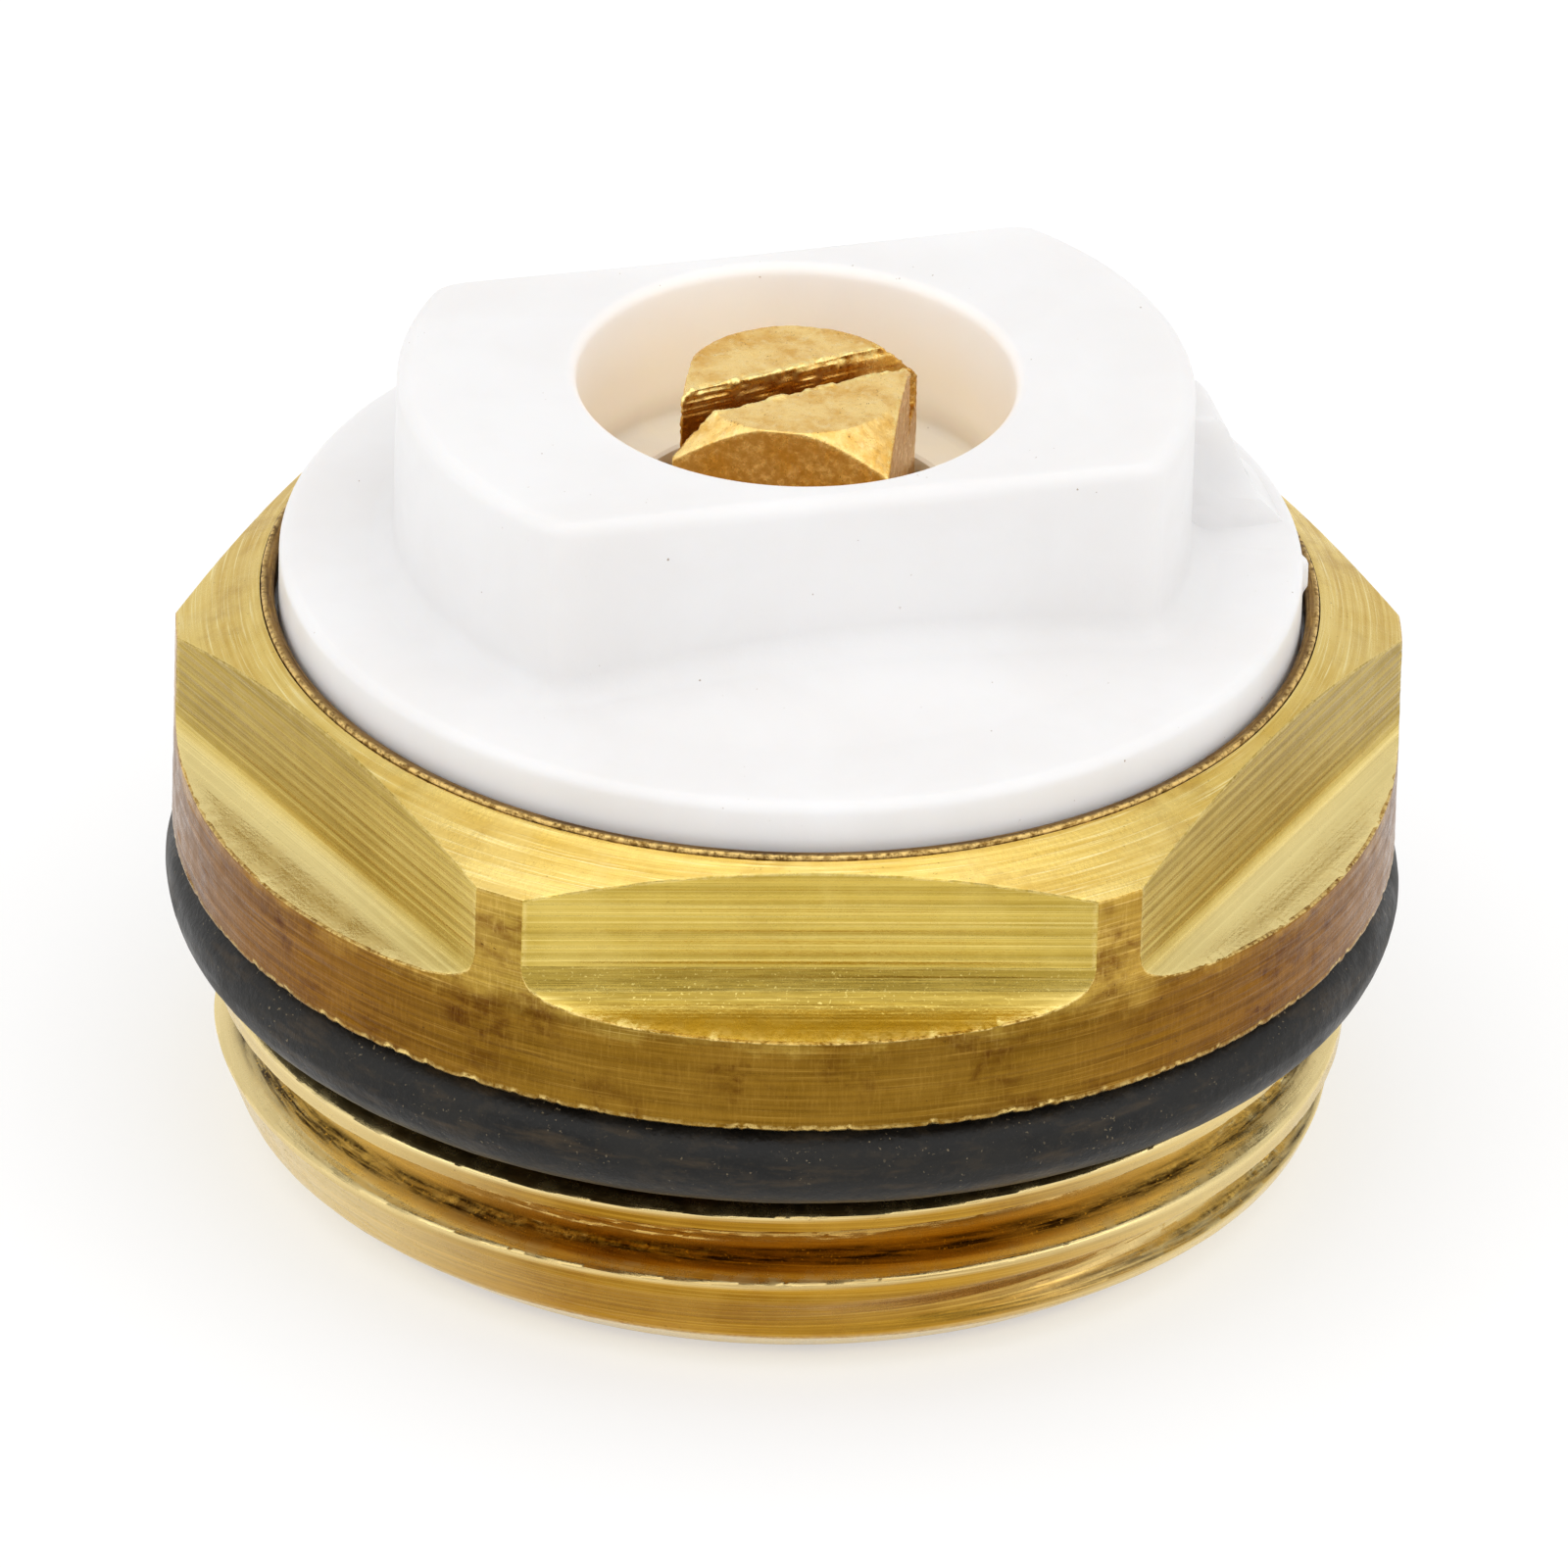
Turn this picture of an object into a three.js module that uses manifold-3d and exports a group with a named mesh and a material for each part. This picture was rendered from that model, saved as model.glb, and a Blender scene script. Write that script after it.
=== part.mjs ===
// Manual air-vent plug with swivelling discharge cap.
//
// A brass plug with a 1 inch parallel pipe thread closes the end of a radiator
// or manifold. Its middle holds a small needle valve: a brass screw with a
// square, slotted head lifts off a conical seat and lets air past its thread,
// through a cross-hole, into the chamber under a white plastic cap. The cap
// swivels on two O-rings, so its small spout can be pointed anywhere, and a
// thin brass ring holds it in the body.
//
// Frame: millimetres, +Z up along the thread axis, origin in the middle of the
// thread's end face, the face that goes first into the radiator. The cap's
// spout points 15 degrees from +X toward +Y, and the screw is closed.

import * as THREE from 'three';
import { mergeVertices } from 'three/addons/utils/BufferGeometryUtils.js';
import Module from 'manifold-3d';

const wasm = await Module();
wasm.setup();

// ---------------------------------------------------------------------------
// Driving dimensions (mm, degrees)
// ---------------------------------------------------------------------------

// external pipe thread, G 1 (11 threads per inch)
const THREAD_MAJOR_R = 33.249 / 2;
const THREAD_PITCH = 2.309;
const THREAD_ROOT_R = 15.15;
const THREAD_CREST_HALF = 0.21;      // half width of the crest flat
const THREAD_ROOT_HALF = 1.0;        // half width of the ridge at the root
const THREAD_PHASE_Z = 3.0;          // height of a crest on the -Y side
const THREAD_TOP = 6.15;             // where the undercut under the collar begins
const END_FACE_R = 14.53;            // outer edge of the end face
const LEAD_IN_R = 15.97;             // where the lead-in chamfer meets the tapered first turn
const LEAD_IN_TOP = 1.08;
const TAPER_TOP = 2.7;               // where the taper reaches the major diameter

// collar with six milled spanner flats
const COLLAR_R = 17.94;
const COLLAR_BOTTOM = 9.18;
const COLLAR_CORNER = 15.74;         // where the conical top begins
const FLAT_HALF = 15.9;              // half of the 32 mm across flats
const HEX_TURN = 3.08;               // turn of the hexagon about Z
const FLAT_SECTION = [               // cutter section: distance from axis, height
  [15.9, 13.55], [15.93, 13.12], [16.05, 12.80], [16.28, 12.55],
  [16.62, 12.39], [17.15, 12.28], [18.9, 12.05],
];
const LIP_R = 15.5;                  // seat of the retaining ring
const LIP_TOP = 16.88;

// inside of the body
const HOLLOW_R = 12.6;               // water side
const HOLLOW_TOP = 6.2;
const CHAMBER_FLOOR = 9.0;
const CHAMBER_R = 13.2;
const SKIRT_BORE_R = 14.6;           // bore that the cap's skirt turns in
const SKIRT_BORE_FLOOR = 10.4;
const FLANGE_SEAT = 15.3;
const BOSS_R = 5.6;
const BOSS_TOP = 18.6;
const STEM_BORE_R = 4.3;
const TAP_TOP = 13.7;
const TAP_BOTTOM = 8.3;
const VENT_HOLE_R = 1.25;
const SEAT_R = 1.9;
const CROSS_HOLE_R = 0.8;
const CROSS_HOLE_Z = 14.6;

// vent screw, M8 x 1
const SCREW_PITCH = 1.0;
const SCREW_MAJOR_R = 3.92;
const SCREW_ROOT_R = 3.36;
const TAP_MINOR_R = 3.48;
const TAP_MAJOR_R = 4.04;
const SCREW_THREAD_BOTTOM = 9.4;
const SCREW_THREAD_TOP = 13.6;
const WAIST_R = 2.9;
const STEM_R = 4.1;
const HEAD_BOTTOM = 18.9;
const HEAD_TOP = 24.05;
const HEAD_AF = 6.35;                // square, across flats
const HEAD_TURN = -7.0;
const HEAD_CONE_R = 3.2;             // flat top inside the 45 degree chamfer
const SLOT_WIDTH = 1.3;
const SLOT_DEPTH = 2.1;
const SLOT_TURN = 28.0;
const SEAT_GAP = 0.07;

// swivel cap
const CAP_TURN = 15.1;               // direction of the spout
const DISC_R = 14.95;
const DISC_TOP = 18.42;
const CAP_FLANGE_R = 15.36;
const SKIRT_R = 14.45;
const SKIRT_INNER_R = 11.9;
const SKIRT_BOTTOM = 10.8;
const CAP_CEILING = 15.4;            // roof of the chamber under the cap
const KNOB_R = 11.64;
const KNOB_HALF = 7.45;              // half of the grip across its two flats
const KNOB_TOP = 24.25;
const RECESS_R = 6.4;
const RECESS_FLOOR = 19.7;
const FLOOR_HOLE_R = 4.9;
const HUB_BORE_R = 5.75;
const HUB_GROOVE_R = 7.0;
const HUB_GROOVE_BOTTOM = 15.9;
const HUB_GROOVE_TOP = 17.35;
const POCKET_IN_R = 7.9;
const POCKET_OUT_R = 10.3;
const POCKET_HALF = 5.6;
const POCKET_TOP = 22.6;
const SPOUT_HALF = 1.3;
const SPOUT_HOLE_R = 0.8;

// seals and ring: centre radius, height, section radius
const BODY_O_RING = { r: 16.7, z: 7.71, s: 1.4 };
const CAP_OUTER_O_RING = { r: 13.75, z: 13.15, s: 0.81 };
const CAP_INNER_O_RING = { r: 6.3, z: 16.62, s: 0.64 };
const SCREW_O_RING = { r: 3.64, z: 16.3, s: 0.58 };
const RING_IN_R = 15.08;
const RING_OUT_R = 15.46;
const RING_BOTTOM = 15.95;
const RING_TOP = 17.0;

// facets round a full turn
const N_LARGE = 60;
const N_MID = 48;
const N_SMALL = 30;
const N_TAP = 20;

const DEG = Math.PI / 180;

// ---------------------------------------------------------------------------
// Materials
// ---------------------------------------------------------------------------

const brass = (name, color, roughness) =>
  Object.assign(new THREE.MeshStandardMaterial({ color, roughness, metalness: 1.0 }), { name });
const plugBrass = brass('plug_brass', 0xb59a5b, 0.38);
const ringBrass = brass('ring_brass', 0x8f7a4a, 0.5);
const screwBrass = brass('screw_brass', 0xc79a4e, 0.4);
const capPlastic = new THREE.MeshStandardMaterial({ color: 0xe9e7e2, roughness: 0.42, metalness: 0.0 });
capPlastic.name = 'cap_plastic';
const sealRubber = new THREE.MeshStandardMaterial({ color: 0x17181a, roughness: 0.75, metalness: 0.0 });
sealRubber.name = 'seal_rubber';

// ---------------------------------------------------------------------------
// Solids
// ---------------------------------------------------------------------------

function solid(geometry) {
  const g = geometry.clone();
  g.deleteAttribute('normal');
  g.deleteAttribute('uv');
  const m = mergeVertices(g, 1e-4);
  return new wasm.Manifold(new wasm.Mesh({
    numProp: 3,
    vertProperties: new Float32Array(m.attributes.position.array),
    triVerts: new Uint32Array(m.index.array),
  }));
}

function geometryOf(body) {
  const m = body.getMesh();
  const g = new THREE.BufferGeometry();
  const p = new Float32Array(m.numVert * 3);
  for (let i = 0; i < m.numVert; i++)
    for (let k = 0; k < 3; k++) p[3 * i + k] = m.vertProperties[m.numProp * i + k];
  g.setAttribute('position', new THREE.BufferAttribute(p, 3));
  g.setIndex(new THREE.BufferAttribute(new Uint32Array(m.triVerts), 1));
  g.computeVertexNormals();
  return g;
}

// A solid of revolution about Z. The section is a closed loop of [radius,
// height], listed so that its outer side is climbed; a section that touches
// the axis starts and ends on it.
function lathe(section, segments) {
  const pts = section.map(([r, z]) => new THREE.Vector2(r, z));
  const onAxis = section[0][0] === 0;
  if (!onAxis) pts.push(pts[0].clone());
  const g = new THREE.LatheGeometry(pts, segments);
  g.rotateX(Math.PI / 2);            // LatheGeometry turns about Y
  return solid(g);
}

function cylinder(r, z0, z1, segments) {
  return lathe([[0, z0], [r, z0], [r, z1], [0, z1]], segments);
}

function torus({ r, z, s }, sides, segments) {
  const section = [];
  for (let i = 0; i < sides; i++) {
    const a = (2 * Math.PI * (i + 0.5)) / sides;
    section.push([r + s * Math.cos(a), z + s * Math.sin(a)]);
  }
  return lathe(section, segments);
}

// A right-handed helix whose frames stay radial and axial all the way, so that
// a section drawn as (outward, up) is carried round it without twisting.
class Helix extends THREE.Curve {
  constructor(pitch, zAtFront, turns0, turns1) {
    super();
    Object.assign(this, { pitch, zAtFront, turns0, turns1 });
  }
  angle(t) { return 2 * Math.PI * (this.turns0 + t * (this.turns1 - this.turns0)); }
  getPoint(t, target = new THREE.Vector3()) {
    return target.set(0, 0, this.zAtFront + (this.pitch * this.angle(t)) / (2 * Math.PI));
  }
  getPointAt(t, target) { return this.getPoint(t, target); }
  getSpacedPoints(n) {
    return Array.from({ length: n + 1 }, (_, i) => this.getPoint(i / n));
  }
  computeFrenetFrames(n) {
    const tangents = [], normals = [], binormals = [];
    for (let i = 0; i <= n; i++) {
      const a = this.angle(i / n) - Math.PI / 2;
      normals.push(new THREE.Vector3(Math.cos(a), Math.sin(a), 0));
      binormals.push(new THREE.Vector3(0, 0, 1));
      tangents.push(new THREE.Vector3(-Math.sin(a), Math.cos(a), 0));
    }
    return { tangents, normals, binormals };
  }
}

// A thread ridge: section points are [radius, height], extruded round a helix
// that has the given height on the -Y side.
function threadRidge(section, pitch, zAtFront, turns0, turns1, perTurn) {
  const shape = new THREE.Shape(section.map(([r, z]) => new THREE.Vector2(r, z)));
  const g = new THREE.ExtrudeGeometry(shape, {
    steps: Math.round((turns1 - turns0) * perTurn),
    extrudePath: new Helix(pitch, zAtFront, turns0, turns1),
    bevelEnabled: false,
  });
  const s = solid(g);
  return s.volume() > 0 ? s : solid(flip(g));
}

function flip(g) {
  const f = g.index ? g.toNonIndexed() : g.clone();
  const p = f.attributes.position.array;
  for (let i = 0; i < p.length; i += 9)
    for (let k = 0; k < 3; k++) [p[i + 3 + k], p[i + 6 + k]] = [p[i + 6 + k], p[i + 3 + k]];
  return f;
}

// A box centred in X and Y, from z0 to z1.
function block(x0, x1, y0, y1, z0, z1) {
  const g = new THREE.BoxGeometry(x1 - x0, y1 - y0, z1 - z0);
  g.translate((x0 + x1) / 2, (y0 + y1) / 2, (z0 + z1) / 2);
  return solid(g);
}

// ---------------------------------------------------------------------------
// Plug body
// ---------------------------------------------------------------------------

function makePlugBody() {
  let body = lathe([
    [0, HOLLOW_TOP],
    [HOLLOW_R - 0.6, HOLLOW_TOP],
    [HOLLOW_R, HOLLOW_TOP - 0.6],
    [HOLLOW_R, 0],
    [END_FACE_R, 0],
    [THREAD_ROOT_R, LEAD_IN_TOP * (THREAD_ROOT_R - END_FACE_R) / (LEAD_IN_R - END_FACE_R)],
    [THREAD_ROOT_R, COLLAR_BOTTOM],
    [COLLAR_R - 0.08, COLLAR_BOTTOM],
    [COLLAR_R, COLLAR_BOTTOM + 0.08],
    [COLLAR_R, COLLAR_CORNER],
    [LIP_R, LIP_TOP],
    [LIP_R, FLANGE_SEAT],
    [SKIRT_BORE_R, FLANGE_SEAT],
    [SKIRT_BORE_R, SKIRT_BORE_FLOOR],
    [CHAMBER_R, SKIRT_BORE_FLOOR],
    [CHAMBER_R, CHAMBER_FLOOR],
    [0, CHAMBER_FLOOR],
  ], N_LARGE);

  // boss in the middle of the chamber, bored for the screw's stem and tapped
  // for its thread, with the valve seat at the bottom
  body = body.add(lathe([
    [0, CHAMBER_FLOOR - 1],
    [BOSS_R, CHAMBER_FLOOR - 1],
    [BOSS_R, BOSS_TOP - 0.3],
    [BOSS_R - 0.3, BOSS_TOP],
    [0, BOSS_TOP],
  ], N_SMALL));
  body = body.subtract(lathe([
    [0, HOLLOW_TOP - 1],
    [VENT_HOLE_R, HOLLOW_TOP - 1],
    [VENT_HOLE_R, TAP_BOTTOM - (SEAT_R - VENT_HOLE_R)],
    [SEAT_R, TAP_BOTTOM],
    [TAP_MINOR_R, TAP_BOTTOM],
    [TAP_MINOR_R, TAP_TOP],
    [STEM_BORE_R, TAP_TOP + 0.3],
    [STEM_BORE_R, BOSS_TOP - 0.2],
    [STEM_BORE_R + 0.2, BOSS_TOP],
    [STEM_BORE_R + 0.2, BOSS_TOP + 1],
    [0, BOSS_TOP + 1],
  ], N_TAP));

  // pipe thread: one V ridge round the core, trimmed by the lead-in chamfer
  // and by the undercut
  const ridge = threadRidge([
    [THREAD_ROOT_R - 0.3, -THREAD_ROOT_HALF - 0.02],
    [THREAD_ROOT_R, -THREAD_ROOT_HALF],
    [THREAD_MAJOR_R, -THREAD_CREST_HALF],
    [THREAD_MAJOR_R, THREAD_CREST_HALF],
    [THREAD_ROOT_R, THREAD_ROOT_HALF],
    [THREAD_ROOT_R - 0.3, THREAD_ROOT_HALF + 0.02],
  ], THREAD_PITCH, THREAD_PHASE_Z, -2, 2, N_LARGE);
  const envelope = lathe([
    [13.5, 0.02],
    [END_FACE_R, 0.02],
    [LEAD_IN_R, LEAD_IN_TOP],
    [THREAD_MAJOR_R, TAPER_TOP],
    [THREAD_MAJOR_R + 0.4, TAPER_TOP + 0.1],
    [THREAD_MAJOR_R + 0.4, THREAD_TOP - 0.4],
    [THREAD_MAJOR_R - 0.1, THREAD_TOP - 0.3],
    [THREAD_MAJOR_R - 0.4, THREAD_TOP],
    [13.5, THREAD_TOP],
  ], N_LARGE);
  body = body.add(ridge.intersect(envelope));

  // the first groove starts part of the way round, and the taper is whole
  // before it
  const uncut = threadRidge([
    [THREAD_ROOT_R - 0.3, -1.2],
    [THREAD_MAJOR_R + 0.2, -1.2],
    [THREAD_MAJOR_R + 0.2, 1.1],
    [THREAD_ROOT_R - 0.3, 1.1],
  ], THREAD_PITCH, THREAD_PHASE_Z - THREAD_PITCH / 2, -1.1, 0.06, N_LARGE);
  body = body.add(uncut.intersect(envelope));

  // six milled flats with a run-out at the foot
  const cut = new THREE.Shape([
    ...FLAT_SECTION.map(([x, z]) => new THREE.Vector2(x, z)),
    new THREE.Vector2(18.9, 17.6),
    new THREE.Vector2(FLAT_HALF, 17.6),
  ]);
  for (let i = 0; i < 6; i++) {
    const g = new THREE.ExtrudeGeometry(cut, { depth: 24, steps: 1, bevelEnabled: false });
    g.translate(0, 0, -12);
    g.rotateX(Math.PI / 2);          // section's second axis becomes Z
    g.rotateZ((HEX_TURN - 90 + 60 * i) * DEG);
    body = body.subtract(solid(g));
  }

  // tapped hole for the vent screw
  const tap = threadRidge([
    [TAP_MINOR_R - 0.2, -0.45],
    [TAP_MINOR_R, -0.42],
    [TAP_MAJOR_R, -0.10],
    [TAP_MAJOR_R, 0.10],
    [TAP_MINOR_R, 0.42],
    [TAP_MINOR_R - 0.2, 0.45],
  ], SCREW_PITCH, 11.0, -2.8, 3.2, N_TAP);
  const tapZone = lathe([
    [3.1, TAP_BOTTOM + 0.25], [4.6, TAP_BOTTOM + 0.25], [4.6, TAP_TOP + 0.25], [3.1, TAP_TOP + 0.25],
  ], N_TAP);
  body = body.subtract(tap.intersect(tapZone));

  // cross-hole through the boss, from the screw's waist into the chamber
  const g = new THREE.CylinderGeometry(CROSS_HOLE_R, CROSS_HOLE_R, 14, 12);
  g.rotateZ(Math.PI / 2);
  g.translate(0, 0, CROSS_HOLE_Z);
  g.rotateZ(40 * DEG);
  body = body.subtract(solid(g));
  return body;
}

// ---------------------------------------------------------------------------
// Retaining ring
// ---------------------------------------------------------------------------

function makeRetainingRing() {
  return lathe([
    [RING_IN_R, RING_BOTTOM],
    [RING_OUT_R, RING_BOTTOM],
    [RING_OUT_R, RING_TOP - 0.06],
    [RING_OUT_R - 0.06, RING_TOP],
    [RING_IN_R, RING_TOP],
  ], N_LARGE);
}

// ---------------------------------------------------------------------------
// Swivel cap, drawn with its spout along +X and turned afterwards
// ---------------------------------------------------------------------------

function gripOutline(radius, half, steps) {
  const pts = [];
  const a = Math.asin(half / radius);
  for (let i = 0; i <= steps; i++) {
    const t = -a + (2 * a * i) / steps;
    pts.push(new THREE.Vector2(radius * Math.cos(t), radius * Math.sin(t)));
  }
  for (let i = 0; i <= steps; i++) {
    const t = Math.PI - a + (2 * a * i) / steps;
    pts.push(new THREE.Vector2(radius * Math.cos(t), radius * Math.sin(t)));
  }
  return new THREE.Shape(pts);
}

function makeSwivelCap() {
  let cap = lathe([
    [0, CAP_CEILING],
    [SKIRT_INNER_R, CAP_CEILING],
    [SKIRT_INNER_R, SKIRT_BOTTOM],
    [SKIRT_R - 0.25, SKIRT_BOTTOM],
    [SKIRT_R, SKIRT_BOTTOM + 0.25],
    [SKIRT_R, 12.2],
    [12.9, 12.2],
    [12.9, 14.1],
    [SKIRT_R, 14.1],
    [SKIRT_R, FLANGE_SEAT + 0.08],
    [CAP_FLANGE_R, FLANGE_SEAT + 0.08],
    [CAP_FLANGE_R, RING_BOTTOM - 0.12],
    [DISC_R, RING_BOTTOM - 0.12],
    [DISC_R, DISC_TOP - 0.32],
    [DISC_R - 0.09, DISC_TOP - 0.1],
    [DISC_R - 0.3, DISC_TOP],
    [KNOB_R, DISC_TOP + 0.03],
    [KNOB_HALF, 19.2],
    [0, 19.2],
  ], N_LARGE);

  // grip with two flats and round ends
  const bevel = 0.35;
  const grip = new THREE.ExtrudeGeometry(gripOutline(KNOB_R - bevel, KNOB_HALF - bevel, 20), {
    depth: KNOB_TOP - 17.5 - 2 * bevel, steps: 1,
    bevelEnabled: true, bevelThickness: bevel, bevelSize: bevel, bevelSegments: 2,
  });
  grip.translate(0, 0, 17.5 + bevel);
  cap = cap.add(solid(grip));

  // spout: a narrow buttress on the round end, flaring onto the disc
  const spout = new THREE.Shape([
    [10.9, 17.4], [14.45, 17.4], [14.45, 18.44], [13.75, 19.3], [13.35, 20.1],
    [12.75, 21.6], [12.45, 21.95], [12.05, 22.05], [10.9, 22.05],
  ].map(([x, z]) => new THREE.Vector2(x, z)));
  const s = new THREE.ExtrudeGeometry(spout, { depth: 2 * SPOUT_HALF, steps: 1, bevelEnabled: false });
  s.translate(0, 0, -SPOUT_HALF);
  s.rotateX(Math.PI / 2);
  cap = cap.add(solid(s));

  // recess round the screw head, floor hole and hub bore
  cap = cap.subtract(lathe([
    [0, RECESS_FLOOR], [RECESS_R, RECESS_FLOOR], [RECESS_R, KNOB_TOP - 0.45],
    [RECESS_R + 0.12, KNOB_TOP - 0.16], [RECESS_R + 0.4, KNOB_TOP + 0.01],
    [RECESS_R + 0.4, KNOB_TOP + 1], [0, KNOB_TOP + 1],
  ], N_MID));
  cap = cap.subtract(lathe([
    [0, CAP_CEILING - 1], [HUB_BORE_R, CAP_CEILING - 1], [HUB_BORE_R, HUB_GROOVE_BOTTOM],
    [HUB_GROOVE_R, HUB_GROOVE_BOTTOM], [HUB_GROOVE_R, HUB_GROOVE_TOP], [HUB_BORE_R, HUB_GROOVE_TOP],
    [HUB_BORE_R, HEAD_BOTTOM], [FLOOR_HOLE_R, HEAD_BOTTOM],
    [FLOOR_HOLE_R, RECESS_FLOOR + 1], [0, RECESS_FLOOR + 1],
  ], N_SMALL));

  // cored pockets in both ends of the grip, open to the chamber below
  const pocket = new THREE.Shape();
  const a0 = Math.asin(POCKET_HALF / POCKET_OUT_R);
  const a1 = Math.asin(POCKET_HALF / POCKET_IN_R);
  const ring = [];
  for (let i = 0; i <= 8; i++) {
    const t = -a0 + (2 * a0 * i) / 8;
    ring.push(new THREE.Vector2(POCKET_OUT_R * Math.cos(t), POCKET_OUT_R * Math.sin(t)));
  }
  for (let i = 0; i <= 8; i++) {
    const t = a1 - (2 * a1 * i) / 8;
    ring.push(new THREE.Vector2(POCKET_IN_R * Math.cos(t), POCKET_IN_R * Math.sin(t)));
  }
  pocket.setFromPoints(ring);
  for (const turn of [0, Math.PI]) {
    const g = new THREE.ExtrudeGeometry(pocket, { depth: POCKET_TOP - 15.0, steps: 1, bevelEnabled: false });
    g.translate(0, 0, 15.0);
    g.rotateZ(turn);
    cap = cap.subtract(solid(g));
  }

  // discharge hole from the pocket out through the spout, falling a little
  const h = new THREE.CylinderGeometry(SPOUT_HOLE_R, SPOUT_HOLE_R, 6, 12);
  h.rotateZ(Math.PI / 2 - 8 * DEG);
  h.translate(12.2, 0, 20.3);
  cap = cap.subtract(solid(h));
  return cap;
}

// ---------------------------------------------------------------------------
// Vent screw
// ---------------------------------------------------------------------------

function makeVentScrew() {
  const seatZ = TAP_BOTTOM - SEAT_R + SEAT_GAP;   // height of the needle cone's apex
  let screw = lathe([
    [0, seatZ + 0.6],
    [0.6, seatZ + 0.6],
    [2.7, seatZ + 2.7],
    [SCREW_ROOT_R, SCREW_THREAD_BOTTOM],
    [SCREW_ROOT_R, SCREW_THREAD_TOP],
    [WAIST_R, SCREW_THREAD_TOP + 0.3],
    [WAIST_R, 15.2],
    [STEM_R, 15.3],
    [STEM_R, 15.6],
    [3.0, 15.6],
    [3.0, 17.0],
    [STEM_R, 17.0],
    [STEM_R, HEAD_BOTTOM + 0.4],
    [0, HEAD_BOTTOM + 0.4],
  ], N_TAP);

  const ridge = threadRidge([
    [SCREW_ROOT_R - 0.2, -0.42],
    [SCREW_ROOT_R, -0.393],
    [SCREW_MAJOR_R, -0.07],
    [SCREW_MAJOR_R, 0.07],
    [SCREW_ROOT_R, 0.393],
    [SCREW_ROOT_R - 0.2, 0.42],
  ], SCREW_PITCH, 11.0, -2.5, 3.2, N_TAP);
  const zone = lathe([
    [2.9, SCREW_THREAD_BOTTOM + 0.02], [3.4, SCREW_THREAD_BOTTOM + 0.02], [4.1, SCREW_THREAD_BOTTOM + 0.72],
    [4.1, SCREW_THREAD_TOP - 0.7], [3.4, SCREW_THREAD_TOP - 0.02], [2.9, SCREW_THREAD_TOP - 0.02],
  ], N_TAP);
  screw = screw.add(ridge.intersect(zone));

  // flat along the thread, the way past it for the air
  screw = screw.subtract(block(2.75, 5, -4, 4, 8.9, 15.0));

  // square head with a 45 degree turned chamfer
  const half = HEAD_AF / 2;
  const turned = lathe([
    [0, HEAD_BOTTOM], [4.3, HEAD_BOTTOM], [4.6, HEAD_BOTTOM + 0.3], [4.6, HEAD_TOP - (4.6 - HEAD_CONE_R)],
    [HEAD_CONE_R, HEAD_TOP], [0, HEAD_TOP],
  ], N_MID);
  let head = block(-half, half, -half, half, HEAD_BOTTOM - 1, HEAD_TOP + 1).intersect(turned);
  head = head.rotate([0, 0, HEAD_TURN]);
  const slot = block(-8, 8, -SLOT_WIDTH / 2, SLOT_WIDTH / 2, HEAD_TOP - SLOT_DEPTH, HEAD_TOP + 1)
    .rotate([0, 0, SLOT_TURN]);
  return screw.add(head).subtract(slot);
}

// ---------------------------------------------------------------------------
// Assembly
// ---------------------------------------------------------------------------

function piece(name, body, material) {
  const m = new THREE.Mesh(geometryOf(body), material);
  m.name = name;
  return m;
}

const airVent = new THREE.Group();
airVent.name = 'air_vent_plug';

const fixed = new THREE.Group();
fixed.name = 'body_group';
fixed.add(piece('plug_body', makePlugBody(), plugBrass));
fixed.add(piece('body_o_ring', torus(BODY_O_RING, 10, N_LARGE), sealRubber));
fixed.add(piece('cap_retaining_ring', makeRetainingRing(), ringBrass));
airVent.add(fixed);

const swivel = new THREE.Group();
swivel.name = 'swivel_group';
swivel.rotation.z = CAP_TURN * DEG;
swivel.add(piece('swivel_cap', makeSwivelCap(), capPlastic));
swivel.add(piece('cap_outer_o_ring', torus(CAP_OUTER_O_RING, 8, N_MID), sealRubber));
swivel.add(piece('cap_inner_o_ring', torus(CAP_INNER_O_RING, 8, N_SMALL), sealRubber));
airVent.add(swivel);

const valve = new THREE.Group();
valve.name = 'vent_screw_group';
valve.add(piece('vent_screw', makeVentScrew(), screwBrass));
valve.add(piece('screw_o_ring', torus(SCREW_O_RING, 8, N_TAP), sealRubber));
airVent.add(valve);

export default airVent;
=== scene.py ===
import math
import bpy
import bmesh
import numpy as np
from mathutils import Matrix, Vector


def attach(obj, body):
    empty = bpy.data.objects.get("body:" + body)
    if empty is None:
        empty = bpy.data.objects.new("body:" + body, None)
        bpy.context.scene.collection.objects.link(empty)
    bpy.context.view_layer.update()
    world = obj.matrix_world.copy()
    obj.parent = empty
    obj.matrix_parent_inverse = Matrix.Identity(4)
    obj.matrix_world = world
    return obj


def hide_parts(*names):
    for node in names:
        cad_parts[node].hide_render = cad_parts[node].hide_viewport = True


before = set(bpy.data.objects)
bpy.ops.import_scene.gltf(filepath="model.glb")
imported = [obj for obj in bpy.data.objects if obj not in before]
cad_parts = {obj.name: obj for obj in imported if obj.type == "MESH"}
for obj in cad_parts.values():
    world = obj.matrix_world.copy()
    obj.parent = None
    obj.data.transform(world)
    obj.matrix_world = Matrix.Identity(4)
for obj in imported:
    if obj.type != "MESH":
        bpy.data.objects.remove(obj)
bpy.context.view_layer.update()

DEG = math.pi / 180
MM = 0.001


# ---------------------------------------------------------------------------
# Noise, the same on every run
# ---------------------------------------------------------------------------

def _table(seed, shape):
    return np.random.RandomState(seed).rand(*shape)


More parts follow.
